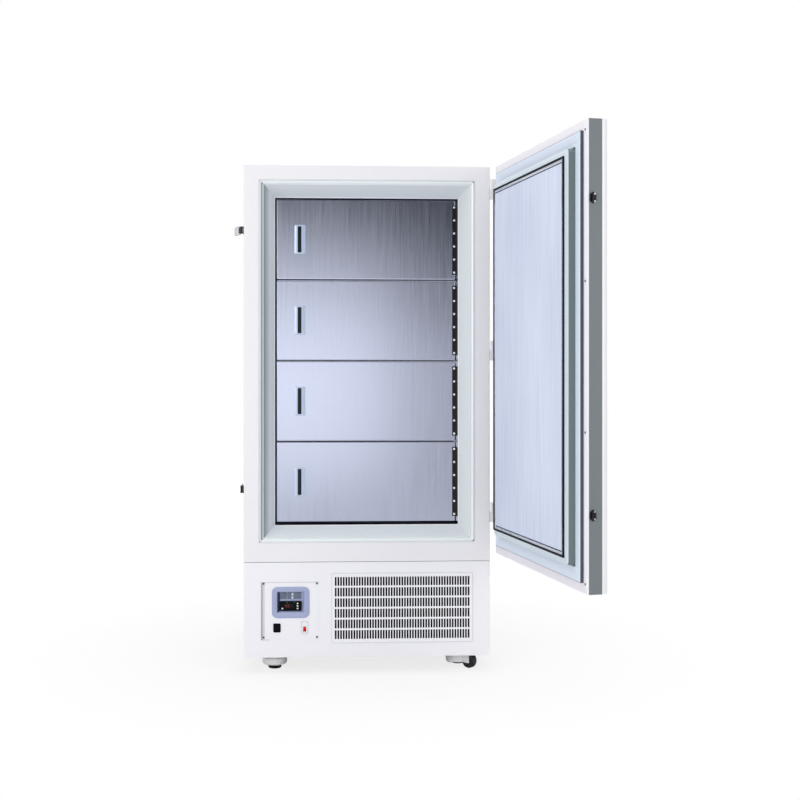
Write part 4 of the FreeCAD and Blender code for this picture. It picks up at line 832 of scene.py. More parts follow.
@dataclass
class CabinetBody:
    """The shell, its lined opening and the compartments behind it."""

    half_opening: float = 0.374
    opening_low: float = 0.4505
    opening_top: float = 1.703
    mouth_inset: float = 0.052
    throat_depth: float = 0.084

    def build(self) -> None:
        """Dress the shell and line the opening."""
        dress(ENAMEL, "outer_shell")
        dress(LINER_STEEL, "inner_liner", "shelves")
        dress(FOAM, "foam_insulation")
        dress(COPPER, "evaporator_coil")
        # The base tray and deck are near-black as painted shade.
        dress(BAY_PAINTED_SHADE, "base_tray", "deck_plate")
        self._throat()

    def _throat(self) -> None:
        """The rim, the sloped throat, the seal round them and a white strip on the throat's inner edge as a
        painted highlight.
        """
        mouth = Loop(-self.half_opening, self.half_opening, self.opening_low, self.opening_top, FRONT)
        inner, depth = self.mouth_inset, self.throat_depth
        rim = [(0.003, 0.009, 0.008), (0.003, 0.0030, 0.008), (0.0036, 0.0018, 0.008), (0.0046, 0.0014, 0.007),
               (0.0062, 0.0015, 0.006), (0.0122, 0.0044, 0.004), (0.0130, 0.0052, 0.003),
               (0.0130, 0.0078, 0.003)]
        slope = [(0.0128, 0.0088, 0.004), (0.0128, 0.0060, 0.004), (0.0165, 0.0060, 0.003),
                 (0.0172, 0.0066, 0.003), (inner, depth, 0.003), (inner - 0.003, depth, 0.003),
                 (0.0142, 0.0092, 0.003)]
        seal = [(0.0002, 0.0070), (0.0002, 0.0014), (0.0008, 0.0008), (0.0022, 0.0008), (0.0028, 0.0014),
                (0.0028, 0.0070)]
        # A white strip on the throat's inner edge, as a painted highlight.
        edge = [(inner - 0.0024, depth - 0.0052), (inner - 0.0002, depth - 0.0052),
                (inner + 0.0004, depth - 0.0044), (inner + 0.0004, depth + 0.0002),
                (inner - 0.0024, depth + 0.0002)]
        for name, table, finish, slot, nodes in (
                ("throat_rim", rim, RIM_PLASTIC, "pale_plastic", []),
                ("throat_slope", slope, THROAT_PLASTIC, "pale_plastic", ["throat_frame"]),
                ("throat_seal", seal, PANEL_ENAMEL, "gasket", []),
                ("throat_edge", edge, WHITE_AND_HIGHLIGHT, "pale_plastic", [])):
            band(name, "cabinet", finish, slot, mouth.steps(FRONT, table), replaces=nodes)


@dataclass
class InnerDoors:
    """Four folded stainless doors with sunk pulls and strip hinges."""

    screws: ScrewRow
    thickness: float = 0.027
    pull_from_edge: float = 0.063
    pull_width: float = 0.038
    pull_height: float = 0.102
    slot_from_edge: float = 0.074
    slot_width: float = 0.014
    slot_height: float = 0.093
    slot_depth: float = 0.018
    screw_pitch: float = 0.046
    screw_count: int = 6
    reveal_gap: float = 0.0020
    reveal_depth: float = 0.010

    def build(self) -> None:
        """Build each door on its own body."""
        for number in (1, 2, 3, 4):
            self._door(number)
        dress(POLISHED, "inner_hinge_frame_leaves")
        self._reveal()

    def _reveal(self) -> None:
        """A dark strip of painted shade in the gap between the throat and the free sides of the doors."""
        top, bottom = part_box("inner_door_1"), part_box("inner_door_4")
        left = top[0].x - self.reveal_gap
        right = -left - 0.0060
        high, low = top[1].z + 0.0018, bottom[0].z - 0.0018
        upper, lower = high + 0.0022, low - 0.0022
        front = FRONT + 0.0864
        rear = front + self.reveal_depth
        draft = Draft()
        draft.box((left - self.reveal_gap, front, lower), (left, rear, upper))
        draft.box((left, front, high), (right, rear, upper))
        draft.box((left, front, lower), (right, rear, low))
        draft.piece("reveal_seal", "cabinet", DARK_GASKET_AND_SHADE, "gasket")

    def _door(self, number: int) -> None:
        """One door: its pan, pull plate, cup and the screws of its hinge."""
        body = f"inner_door_{number}"
        low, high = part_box(body)
        face = low.y + 0.0015
        rear, cup_depth = self.thickness, self.slot_depth
        middle = (low.z + high.z) / 2
        slot_left = low.x + self.slot_from_edge
        slot = Loop(slot_left - 0.0006, slot_left + self.slot_width + 0.0006,
                    middle - self.slot_height / 2 - 0.0006, middle + self.slot_height / 2 + 0.0006, face, 0.002)
        pan = Loop(low.x, high.x, low.z, high.z, face, 0.004).steps(face, [
            (0.016, rear - 0.0014), (0.016, rear), (0.0016, rear), (0.0, rear - 0.0016), (0.0, 0.0022),
            (0.0005, 0.0009), (0.0018, 0.0001), (0.0030, 0.0), (0.0060, 0.0)])
        well = slot.steps(face, [(0.0, 0.0), (0.0, cup_depth), (0.002, cup_depth + 0.001)])
        band(f"{body}_pan", body, INNER_STEEL, "stainless", pan + well, arc=5, ring=False, replaces=[body])
        around = Loop(low.x, high.x - 0.006, low.z, high.z, face, 0.002)
        band(f"{body}_seal", body, DARK_GASKET_AND_SHADE, "gasket", around.steps(face, [
            (0.0012, 0.0060), (-0.0009, 0.0064), (-0.0009, rear - 0.0040), (0.0012, rear - 0.0036)]))
        plate_left = low.x + self.pull_from_edge
        plate = Loop(plate_left, plate_left + self.pull_width, middle - self.pull_height / 2,
                     middle + self.pull_height / 2, face, 0.004)
        outside = plate.steps(face, [(0.0, -0.0001), (0.0001, -0.0008), (0.0012, -0.0015)])
        inside = slot.inset(0.0012, face, 0.003).steps(face, [
            (-0.0012, -0.0015, 0.004), (0.0, -0.0006), (0.0, 0.0006), (-0.0010, 0.0006)])
        band(f"{body}_pull", body, PULL, "stainless", outside + inside, arc=6)
        band(f"{body}_cup", body, CUP, "dark_steel", slot.steps(face, [
            (0.0003, cup_depth - 0.0002), (0.0003, 0.0008), (0.0011, 0.0008), (0.0011, cup_depth - 0.0012)]),
             ring=False)
        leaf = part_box(f"inner_door_hinge_{number}")[0]
        dress(DARK_METAL_AND_SHADE, f"inner_door_hinge_{number}")
        first = middle - self.screw_pitch * (self.screw_count - 1) / 2
        heads = self.screws.heads(SCREW_CAP, (leaf.x + 0.0065, leaf.y + 0.0022, first), (0, 0, self.screw_pitch),
                                  self.screw_count, (0, -1, 0), radius=0.0037, height=0.0018)
        Draft().take(heads).piece(f"{body}_screws", body, SCREW_CAP, "bright_steel")


@dataclass
class OuterDoor:
    """The thick outer door: border, gaskets, plug and stainless panel, drawn as it stands when shut."""

    screws: ScrewRow
    far: float = 0.855
    near: float = 0.009
    height: float = 1.338
    face: float = 0.0123
    border: float = 0.0292
    gasket_width: float = 0.0413
    plug_height: float = 0.030
    plug_ring: float = 0.0215
    panel_height: float = 0.0370
    panel_back: float = 0.029
    bead_proud: float = 0.0028
    bead_depth: float = 0.0060
    border_screw_pitch: float = 0.427
    keeper_screw_pitch: float = 0.021
    place: Matrix = field(init=False)
    outline: Loop = field(init=False)
    foot: float = field(init=False)
    ring: float = field(init=False)
    crown: float = field(init=False)

    def __post_init__(self) -> None:
        """Work out where the door stands open, and where its parts begin."""
        hinge = joint("main_door_hinge")
        angle = math.radians(-hinge["range_deg"][0])
        self.place = Matrix.Translation(hinge["pos_m"]) @ Matrix.Rotation(angle, 4, "Z")
        self.outline = Loop(-self.far, -self.near, 0.0, self.height, 0.0)
        self.foot = self.border + self.gasket_width
        self.ring = self.foot + self.plug_ring
        self.crown = self.panel_height + self.bead_proud

    def _band(self, name: str, finish: Finish, slot: str, table: Iterable[Step], arc: int = 4,
              ring: bool = True, corner: float = 0.0, **rest: object) -> None:
        """Lay a stepped band round the door.

        Args:
            name: The piece's name.
            finish: Its finish.
            slot: The record's material slot.
            table: Inset, height over the door's inner face and, where it differs, corner of each step.
            arc: Segments in each corner.
            ring: Whether the last step joins the first.
            corner: The corner of the steps that give none.
            rest: What else Draft.piece() gets.
        """
        loops = self.outline.inset(0.0, 0.0, corner).steps(-self.face, table)
        band(name, "main_door", finish, slot, loops, arc, ring, place=self.place, **rest)

    def build(self) -> None:
        """Build the door's inside and dress its leaf."""
        dress(ENAMEL, "door_skin")
        # The door's edge is grey as painted shade.
        dress(EDGE_PAINTED_SHADE, "door_core")
        dress(ENAMEL, "door_hinge_leaves", "door_hinge_brackets")
        dress(DARK_METAL_AND_SHADE, "latch_keepers")
        self._frame()
        self._gaskets()
        self._panel()
        self._fasteners()

    def _frame(self) -> None:
        """The white border with the stepped plug inside the gasket, and a band of painted shade on the plug's
        side.
        """
        foot, ring, top = self.foot, self.ring, self.plug_height
        seat = self.crown - self.bead_depth
        self._band("door_border", BORDER_PLASTIC, "pale_plastic", [
            (0.0, -0.004), (0.0, -0.0012), (0.0003, -0.0004), (0.0012, 0.0), (foot + 0.001, 0.0, 0.016),
            (foot + 0.001, -0.004, 0.016)], arc=6)
        self._band("door_plug", PLUG_PLASTIC, "pale_plastic", [
            (foot + 0.0012, -0.004, 0.015), (foot + 0.0024, top - 0.003, 0.014),
            (foot + 0.0030, top - 0.001, 0.013), (foot + 0.0048, top, 0.012), (ring - 0.0010, top, 0.006),
            (ring, top + 0.0008, 0.005), (ring, seat, 0.005), (ring + 0.0058, seat, 0.003),
            (ring + 0.0058, -0.004, 0.003)], arc=6, replaces=["door_inner_frame"])
        # The plug's side, coloured as painted shade.
        self._band("door_plug_wall", PAINTED_PLUG_SHADE, "pale_plastic", [
            (foot, 0.0002, 0.0152), (foot + 0.0022, top - 0.0032, 0.0142), (foot + 0.0026, top - 0.0014, 0.0132),
            (foot + 0.0034, top - 0.0014, 0.0132), (foot + 0.0016, 0.0002, 0.0152)], arc=6)

    def _gaskets(self) -> None:
        """The bellows of the outer gasket with a dark strip of painted shade down its outer side, and the bead of
        the inner one.
        """
        out, inside = self.border, self.foot - 0.0008
        self._band("door_gasket_bellows", GASKET, "gasket", [
            (out + 0.0008, 0.0002), (out + 0.0008, 0.0022), (out + 0.0044, 0.0030), (out + 0.0046, 0.0042),
            (out + 0.0012, 0.0052), (out + 0.0004, 0.0068), (out + 0.0006, 0.0090), (out + 0.0022, 0.0102),
            (out + 0.0050, 0.0105), (inside - 0.0120, 0.0105), (inside - 0.0100, 0.0092),
            (inside - 0.0080, 0.0092), (inside - 0.0060, 0.0103), (inside - 0.0018, 0.0098),
            (inside - 0.0004, 0.0084), (inside - 0.0012, 0.0060), (inside - 0.0036, 0.0046),
            (inside - 0.0010, 0.0030), (inside - 0.0004, 0.0002)],
            corner=0.004, replaces=["door_gasket"], smooth=60)
        # A dark strip of painted shade along the gasket's outer side.
        self._band("door_gasket_skirt", GASKET_PAINTED_SHADE, "gasket", [
            (out - 0.0002, 0.0002), (out - 0.0002, 0.0084), (out + 0.0004, 0.0097), (out + 0.0012, 0.0097),
            (out + 0.0004, 0.0084), (out + 0.0004, 0.0002)], corner=0.004, smooth=60)
        ring, crown = self.ring, self.crown
        base = crown - self.bead_depth + 0.0001
        self._band("door_panel_gasket", DARK_GASKET_AND_SHADE, "gasket", [
            (ring - 0.0002, base), (ring - 0.0002, crown - 0.003), (ring + 0.0012, crown - 0.0004),
            (ring + 0.0034, crown), (ring + 0.0056, crown - 0.0012), (ring + 0.0059, base)],
            corner=0.003, replaces=["door_inner_gasket"], smooth=60)

    def _panel(self) -> None:
        """The stainless panel with its folded rim and a dark ring of painted shade inside it."""
        edge, top, back = self.ring + 0.006, self.panel_height, self.panel_back
        self._band("door_panel_rim", POLISHED, "stainless", [
            (edge + 0.0002, back), (edge + 0.0002, top - 0.0012), (edge + 0.0006, top - 0.0003),
            (edge + 0.0016, top), (edge + 0.0076, top, 0.002), (edge + 0.0086, top - 0.0004, 0.002),
            (edge + 0.0090, top - 0.0014, 0.002), (edge + 0.0090, back, 0.002)], corner=0.003)
        # A dark ring of painted shade in the groove between the rim and the sheet.
        self._band("door_panel_seal", DARK_GASKET_AND_SHADE, "gasket", [
            (edge + 0.0088, back), (edge + 0.0088, top - 0.0012), (edge + 0.0130, top - 0.0012),
            (edge + 0.0130, back)])
        self._band("door_panel_sheet", DOOR_STEEL, "stainless", [
            (edge + 0.0120, top - 0.0026), (edge + 0.0120, top - 0.0010), (edge + 0.0128, top - 0.0004)],
            ring=False, corner=0.002, replaces=["door_inner_panel"], smooth=8)

    def _fasteners(self) -> None:
        """The screws along the border and in the keepers."""
        draft = Draft()
        for x in (-self.far + 0.0165, -self.near - 0.0165):
            draft.take(self.screws.heads(DARK_SCREW, (x, -self.face + 0.0006, 0.028),
                                         (0, 0, self.border_screw_pitch), 4, (0, 1, 0), radius=0.0034,
                                         height=0.0014))
        draft.piece("door_border_screws", "main_door", DARK_SCREW, "dark_steel", place=self.place)
        draft = Draft()
        sill = joint("main_door_hinge")["pos_m"][2]
        for name in ("upper", "lower"):
            level = joint(f"latch_{name}_lever_pivot")["pos_m"][2]
            start = (-self.far - 0.0034, -self.face - 0.0205, level - sill - 0.0105)
            draft.take(self.screws.heads(SCREW, start, (0, 0, self.keeper_screw_pitch), 2, (-1, 0, 0),
                                         radius=0.0026, height=0.0014))
        draft.piece("keeper_screws", "main_door", SCREW, "bright_steel", place=self.place)


@dataclass
class SideLatches:
    """The levers and bails on the cabinet's left side."""

    lever_width: float = 0.0174
    bail_arm: float = 0.012
    bail_length: float = 0.0468
    bail_width: float = 0.0284
    bail_bend: float = 0.004
    bail_wire: float = 0.00125

    HANDLE: ClassVar[Profile] = (
        (-0.0025, 0.0190), (-0.0025, 0.040), (-0.0062, 0.0475), (-0.0060, 0.0538), (-0.0024, 0.0538),
        (0.0, 0.0490), (0.0025, 0.046), (0.0025, 0.0190))
    ROOT: ClassVar[Profile] = ((-0.0032, -0.0045), (-0.0032, 0.0195), (0.0032, 0.0200), (0.0032, -0.0045))

    def build(self) -> None:
        """Build both latches."""
        dress(DARK_METAL_AND_SHADE, "latch_bases")
        for name in ("upper", "lower"):
            self._latch(name)

    def _latch(self, name: str) -> None:
        """One lever with its bail, in the lever's own frame along +Y from the pivot."""
        pivot = joint(f"latch_{name}_lever_pivot")
        turn = math.radians(-pivot["range_deg"][0])
        place = Matrix.Translation(pivot["pos_m"]) @ Matrix.Rotation(turn, 4, "Z")
        half = self.lever_width / 2
        for part, outline, side, finish, slot, nodes in (
                ("handle", self.HANDLE, half, LEVER, "bright_steel", []),
                ("root", self.ROOT, half + 0.0015, DARK_METAL_AND_SHADE, "dark_steel", [f"latch_lever_{name}"])):
            Draft().prism(outline, -side, side).piece(
                f"latch_{name}_{part}", f"latch_lever_{name}", finish, slot, replaces=nodes, place=place,
                bevel=0.0007)
        wide = self.bail_width / 2 - 0.0009
        end, bend = self.bail_arm + self.bail_length, self.bail_bend
        arm = [(0, self.bail_arm, -wide), (0, end - bend, -wide), (0, end - 0.3 * bend, -wide + 0.3 * bend),
               (0, end, -wide + bend)]
        points = arm + [(x, y, -z) for x, y, z in reversed(arm)] + arm[:1]
        Draft().take(tube_along(points, self.bail_wire, "bail")).piece(
            f"latch_{name}_bail", f"latch_bail_{name}", WIRE, "bright_steel",
            replaces=[f"latch_bail_{name}"], place=place, smooth=50)


@dataclass
class LowerFront:
    """The lower front panel with its grille, control plate, controller and switches."""

    screws: ScrewRow
    sheet: SlottedSheet
    columns: int = 51
    rows: int = 6
    slot_width: float = 0.0060
    slot_height: float = 0.0307
    column_pitch: float = 0.0092
    row_pitch: float = 0.0367
    pocket_depth: float = 0.012
    digit_height: float = 0.0088
    digit_width: float = 0.0046
    digit_pitch: float = 0.0078
    digit_bar: float = 0.0009

    BUTTON: ClassVar[Profile] = ((0.0, 0.0020), (0.0026, 0.0016), (0.0033, 0.0), (0.0033, -0.0024),
                                 (0.0, -0.0024))
    LED: ClassVar[Profile] = ((0.0, 0.0005), (0.0008, 0.0003), (0.0011, 0.0), (0.0011, -0.0006),
                              (0.0, -0.0006))

    def build(self) -> None:
        """Build the panel's pieces."""
        dress(PANEL_ENAMEL, "lower_front_panel", "control_plate")
        self._grille()
        self._surround()
        self._plate()
        self._controller()
        self._switch("power", BLACK, BLACK, wide=0.0255, tall=0.031, corner=0.004, drop=0.0, well_tall=0.0264)
        self._switch("alarm", RED, WHITE_AND_HIGHLIGHT, wide=0.0224, tall=0.043, corner=0.009, drop=0.005, well_tall=0.0174)

    def _grille(self) -> None:
        """The punched sheet in front of the condenser."""
        low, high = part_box("front_grille")
        size = high - low
        mesh = self.sheet.grow(
            PANEL_ENAMEL, Columns=self.columns, Rows=self.rows, Field_Width=(self.columns - 1) * self.column_pitch,
            Field_Height=(self.rows - 1) * self.row_pitch, Slot_Width=self.slot_width,
            Slot_Height=self.slot_height, Sheet_Width=size.x, Sheet_Height=size.z, Thickness=size.y)
        place = Matrix.Translation(((low.x + high.x) / 2, high.y, (low.z + high.z) / 2))
        upright = Matrix.Rotation(math.radians(90), 4, "X")
        Draft().take(mesh, place @ upright).piece("punched_grille", "cabinet", PANEL_ENAMEL, "white_enamel",
                                                  replaces=["front_grille", "grille_rails"])
        line = Loop(low.x, high.x, low.z, high.z, low.y, 0.006).steps(low.y, [
            (0.0002, -0.0001), (0.0005, -0.0007), (0.0019, -0.0007, 0.005), (0.0022, -0.0001, 0.005)])
        band("grille_frame_line", "cabinet", FRAME_LINE_AND_SHADE, "white_enamel", line, arc=6)

    def _surround(self) -> None:
        """The blue surround with its sunk tray and what sits in the tray's upper half."""
        low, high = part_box("control_bezel")
        face = low.y
        depth = face + self.pocket_depth
        outer = Loop(low.x, high.x, low.z, high.z, face, 0.019)
        pocket = Loop(low.x + 0.018, high.x - 0.018, low.z + 0.0175, high.z - 0.0175, face, 0.002)
        floor = Loop(pocket.left + 0.0088, pocket.right - 0.0050, pocket.low + 0.0060, pocket.top - 0.0010,
                     depth, 0.002)
        loops = [floor.inset(-0.0012, depth + 0.0014), pocket.inset(-0.0016, face + 0.0025),
                 *outer.steps(face, [(0.0002, 0.0025), (0.0, 0.0018), (0.0006, 0.0006, 0.0185),
                                     (0.0022, 0.0, 0.017)]),
                 *pocket.steps(face, [(-0.0010, 0.0, 0.003), (0.0, 0.0006, 0.0025)]), floor]
        band("control_surround", "cabinet", BLUE, "control_blue", loops, arc=10, ring=False,
             replaces=["control_bezel"])
        # The tray's left wall is a sloped strip coloured as painted shadow.
        shaded = [(pocket.left + 0.0003, face + 0.0006), (floor.left - 0.0002, depth - 0.0003),
                  (floor.left + 0.0002, depth - 0.0006), (pocket.left + 0.0008, face + 0.0003)]
        Draft().prism(shaded, pocket.low + 0.0012, pocket.top - 0.0006).piece(
            "pocket_shaded_wall", "cabinet", POCKET_SHADE, "control_blue")
        blanks, buttons = Draft(), Draft()
        top = pocket.top - 0.0025
        for left, right in ((0.0095, 0.0325), (0.0355, 0.0475), (0.0565, 0.0815)):
            blanks.box((pocket.left + left, depth - 0.0024, top - 0.0230),
                       (pocket.left + right, depth - 0.0001, top))
        blanks.piece("bare_blanks", "cabinet", GREY_BLANK, "control_blue", bevel=0.0006)
        for z in (top - 0.0065, top - 0.0185):
            button(self.BUTTON, (pocket.left + 0.0520, depth - 0.0026, z), 24, buttons)
        buttons.piece("pocket_buttons", "cabinet", WHITE_AND_HIGHLIGHT, "white_plastic")

    def _plate(self) -> None:
        """The control plate's corner screws, and strips of painted shade along its edges."""
        low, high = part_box("control_plate")
        face, proud = low.y - 0.0001, low.y - 0.0005
        draft = Draft()
        for x in (low.x + 0.009, high.x - 0.007):
            draft.take(self.screws.heads(DARK_SCREW, (x, low.y - 0.0006, low.z + 0.0095),
                                         (0, 0, high.z - low.z - 0.0145), 2, (0, -1, 0), radius=0.0034,
                                         height=0.0018))
        draft.piece("control_plate_screws", "cabinet", DARK_SCREW, "dark_steel")
        # Dark strips of painted shade along the plate's left, lower and upper edges.
        shade_strips = Draft()
        for left, bottom, right, top in (
                (low.x, low.z, low.x + 0.0062, high.z), (low.x + 0.0052, low.z, low.x + 0.0300, low.z + 0.0014),
                (low.x + 0.0052, high.z - 0.0012, high.x, high.z)):
            shade_strips.box((left, proud, bottom), (right, face, top))
        shade_strips.piece("plate_hem", "cabinet", PLATE_SHADE_AND_OUTLINE, "white_enamel", bevel=0.0001)
        # A lighter strip of painted shade beside the dark one on the left edge.
        Draft().box((low.x + 0.0064, low.y - 0.0004, low.z + 0.0016),
                    (low.x + 0.0130, face, high.z - 0.0014)).piece(
            "plate_fold", "cabinet", FRAME_LINE_AND_SHADE, "white_enamel", bevel=0.0001)

    def _controller(self) -> None:
        """The controller's window, digits, lamps and keys."""
        dress(BLACK, "temperature_controller")
        dress(WHITE_AND_HIGHLIGHT, "key_up", "key_set", "key_down", "key_light")
        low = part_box("temperature_controller")[0]
        left, face, bottom = low
        window = Loop(left + 0.0141, left + 0.0479, bottom + 0.0091, bottom + 0.0239, face, 0.001)
        band("display_window", "cabinet", WINDOW, "black_plastic",
             window.steps(face, [(0.0, 0.0009), (0.0, 0.0002), (0.0003, 0.0001)]), ring=False)
        self._digits(left + 0.0200, bottom + 0.0120, face)
        lamps = Draft()
        for x in (0.0255, 0.0495):
            button(self.LED, (left + x, face, bottom + 0.0285), 16, lamps)
        lamps.piece("controller_lamps", "cabinet", GREEN_LED, "black_plastic")

    def _digits(self, left: float, bottom: float, face: float) -> None:
        """Two seven-bar digits behind the window, both an eight."""
        draft = Draft()
        height, width, bar = self.digit_height, self.digit_width, self.digit_bar
        front, back = face - 0.0002, face + 0.0002
        for start in (left, left + self.digit_pitch):
            for level in (0, 0.5, 1):
                z = bottom + level * (height - bar)
                draft.box((start + bar, front, z), (start + width - bar, back, z + bar))
            for x in (start, start + width - bar):
                for level in (0, 0.5):
                    z = bottom + bar + level * (height - bar)
                    draft.box((x, front, z), (x + bar, back, z + height / 2 - 1.5 * bar))
        draft.piece("display_digits", "cabinet", DIGIT, "red_plastic")

    def _switch(self, name: str, finish: Finish, frame_finish: Finish, wide: float, tall: float,
                corner: float, drop: float, well_tall: float) -> None:
        """One switch: its frame with the well, and its rocker.

        Args:
            name: The switch's name.
            finish: The rocker's finish.
            frame_finish: The frame's finish.
            wide: The frame's width.
            tall: The frame's height.
            corner: The frame's corner.
            drop: How far the frame's middle stands over the rocker's axis.
            well_tall: The well's height.
        """
        low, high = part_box(f"{name}_rocker")
        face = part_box("switch_frames")[0].y
        middle_x, middle_z = (low.x + high.x) / 2, joint(f"{name}_rocker_pivot")["pos_m"][2]
        centre = middle_z + drop
        well_wide = high.x - low.x + 0.0006
        outer = Loop(middle_x - wide / 2, middle_x + wide / 2, centre - tall / 2, centre + tall / 2, face, corner)
        well = Loop(middle_x - well_wide / 2, middle_x + well_wide / 2, middle_z - well_tall / 2,
                    middle_z + well_tall / 2, face, 0.001)
        loops = [*well.steps(face, [(-0.0010, 0.0156), (-0.0010, 0.0019)]),
                 *outer.steps(face, [(0.0002, 0.0019), (0.0, 0.0010), (0.0008, 0.0001), (0.0018, 0.0)]),
                 *well.steps(face, [(-0.0006, 0.0), (0.0, 0.0005), (0.0, 0.014), (0.001, 0.0142)])]
        if name == "alarm":
            outline = [(-0.0009, 0.0019), (-0.0009, 0.0012), (-0.0001, 0.0012), (-0.0001, 0.0019)]
            band("alarm_outline", "cabinet", PLATE_SHADE_AND_OUTLINE, "white_plastic", outer.steps(face, outline), arc=6)
        band(f"{name}_switch_frame", "cabinet", frame_finish, "black_plastic", loops, arc=6, ring=False,
             replaces=["switch_frames"] if name == "power" else [])
        dress(finish, f"{name}_rocker")


@dataclass
class MachineBay:
    """What shows through the grille and the vents, and the rear cover."""

    screws: ScrewRow
    cover_screws: int = 5
    cover_screw_inset: float = 0.020

    def build(self) -> None:
        """Dress the bay's solids and add the cover's screws and the inlet's pins."""
        # The condenser's fins are near-black as painted shade.
        dress(FINS_PAINTED_SHADE, "condenser_unit")
        dress(DARK_METAL_AND_SHADE, "fan_motor")
        dress(BLACK, "fan_blades", "power_inlet")
        dress(COMPRESSOR, "compressors")
        dress(PANEL_ENAMEL, "rear_cover")
        low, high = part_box("rear_cover")
        pitch = (high.x - low.x - 2 * self.cover_screw_inset) / (self.cover_screws - 1)
        draft = Draft()
        for z in (low.z + 0.007, high.z - 0.007):
            draft.take(self.screws.heads(SCREW, (low.x + self.cover_screw_inset, high.y + 0.0006, z),
                                         (pitch, 0, 0), self.cover_screws, (0, 1, 0), radius=0.0045,
                                         height=0.0020))
        draft.piece("rear_cover_screws", "cabinet", SCREW, "bright_steel")
        low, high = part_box("power_inlet")
        middle_x, middle_z = (low.x + high.x) / 2, (low.z + high.z) / 2
        pins = Draft()
        for x, z in ((-0.007, -0.002), (0.0, 0.003), (0.007, -0.002)):
            pins.box((middle_x + x - 0.001, high.y - 0.0155, middle_z + z - 0.002),
                     (middle_x + x + 0.001, high.y - 0.003, middle_z + z + 0.002))
        pins.piece("inlet_pins", "cabinet", POLISHED, "bright_steel", bevel=0.0003)


@dataclass
class Castors:
    """The swivelling front castors with their levelling pads, and the rigid rear pair."""

    wheel_radius: float = 0.027
    wheel_width: float = 0.022
    wheel_bore: float = 0.00406
    cowl_reach: float = 88.0

    COWL: ClassVar[Profile] = (
        (0.0400, 0.0395), (0.0425, 0.0395), (0.0432, 0.0380), (0.0430, 0.0240), (0.0416, 0.0190),
        (0.0384, 0.0156), (0.0330, 0.0140), (0.0330, 0.0154), (0.0378, 0.0170), (0.0402, 0.0198),
        (0.0414, 0.0240), (0.0416, 0.0375))
    FOOT: ClassVar[Profile] = ((0.0, 0.0022), (0.0215, 0.0022), (0.0235, 0.0040), (0.0232, 0.0062),
                               (0.0210, 0.0074), (0.0056, 0.0078))
    SOLE: ClassVar[Profile] = ((0.0, 0.0), (0.0195, 0.0), (0.0216, 0.0010), (0.0218, 0.0021), (0.0, 0.0021))

    def build(self) -> None:
        """Build the wheels and pads and dress the housings."""
        for side in ("front_left", "front_right", "rear_left", "rear_right"):
            self._wheel(side)
        for side in ("front_left", "front_right"):
            self._pad(side)
            self._cowl(side)
        dress(CASTOR, "castor_front_left", "castor_front_right", "castor_rear_left", "castor_rear_right")

    def _wheel(self, side: str) -> None:
        """One wheel: a rounded tyre on a hub, the same on both sides."""
        axle = joint(f"{side}_wheel_axle")
        half, radius = self.wheel_width / 2, self.wheel_radius
        near = [(self.wheel_bore, -half), (0.0100, -half), (0.0108, -half + 0.0012), (0.0170, -half + 0.0012),
                (0.0180, -half), (radius - 0.0040, -half), (radius - 0.0012, -half + 0.0014),
                (radius, -half + 0.0044)]
        profile = near + [(reach, -height) for reach, height in reversed(near)]
        Draft().turned(profile, towards(axle["axis"], axle["pos_m"]), segments=56, ring=True).piece(
            f"wheel_{side}_tyre", f"wheel_{side}", TYRE, "tyre", replaces=[f"wheel_{side}"])

    def _cowl(self, side: str) -> None:
        """The pressed cowl on the side of the fork away from the wheel."""
        centre = Vector(joint(f"{side}_swivel")["pos_m"])
        trail = Vector(joint(f"{side}_wheel_axle")["pos_m"]) - centre
        away = math.degrees(math.atan2(-trail.y, -trail.x))
        place = Matrix.Translation((centre.x, centre.y, 0.0))
        Draft().swept(self.COWL, place, away - self.cowl_reach, away + self.cowl_reach).piece(
            f"castor_cowl_{side}", f"castor_{side}", CASTOR, "castor_steel")

    def _pad(self, side: str) -> None:
        """One levelling pad: a rounded foot on its stem, black as painted shade under the cowl, and its rubber
        sole.
        """
        body = f"levelling_pad_{side}"
        low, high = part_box(body)
        place = Matrix.Translation(((low.x + high.x) / 2, (low.y + high.y) / 2, low.z))
        tall = high.z - low.z
        # The foot's black is painted shade under the cowl.
        Draft().turned([*self.FOOT, (self.FOOT[-1][0], tall), (0.0, tall)], place).piece(
            f"levelling_foot_{side}", body, DARK_METAL_AND_SHADE, "castor_steel", replaces=[body])
        Draft().turned(self.SOLE, place).piece(f"levelling_sole_{side}", body, TYRE, "tyre")


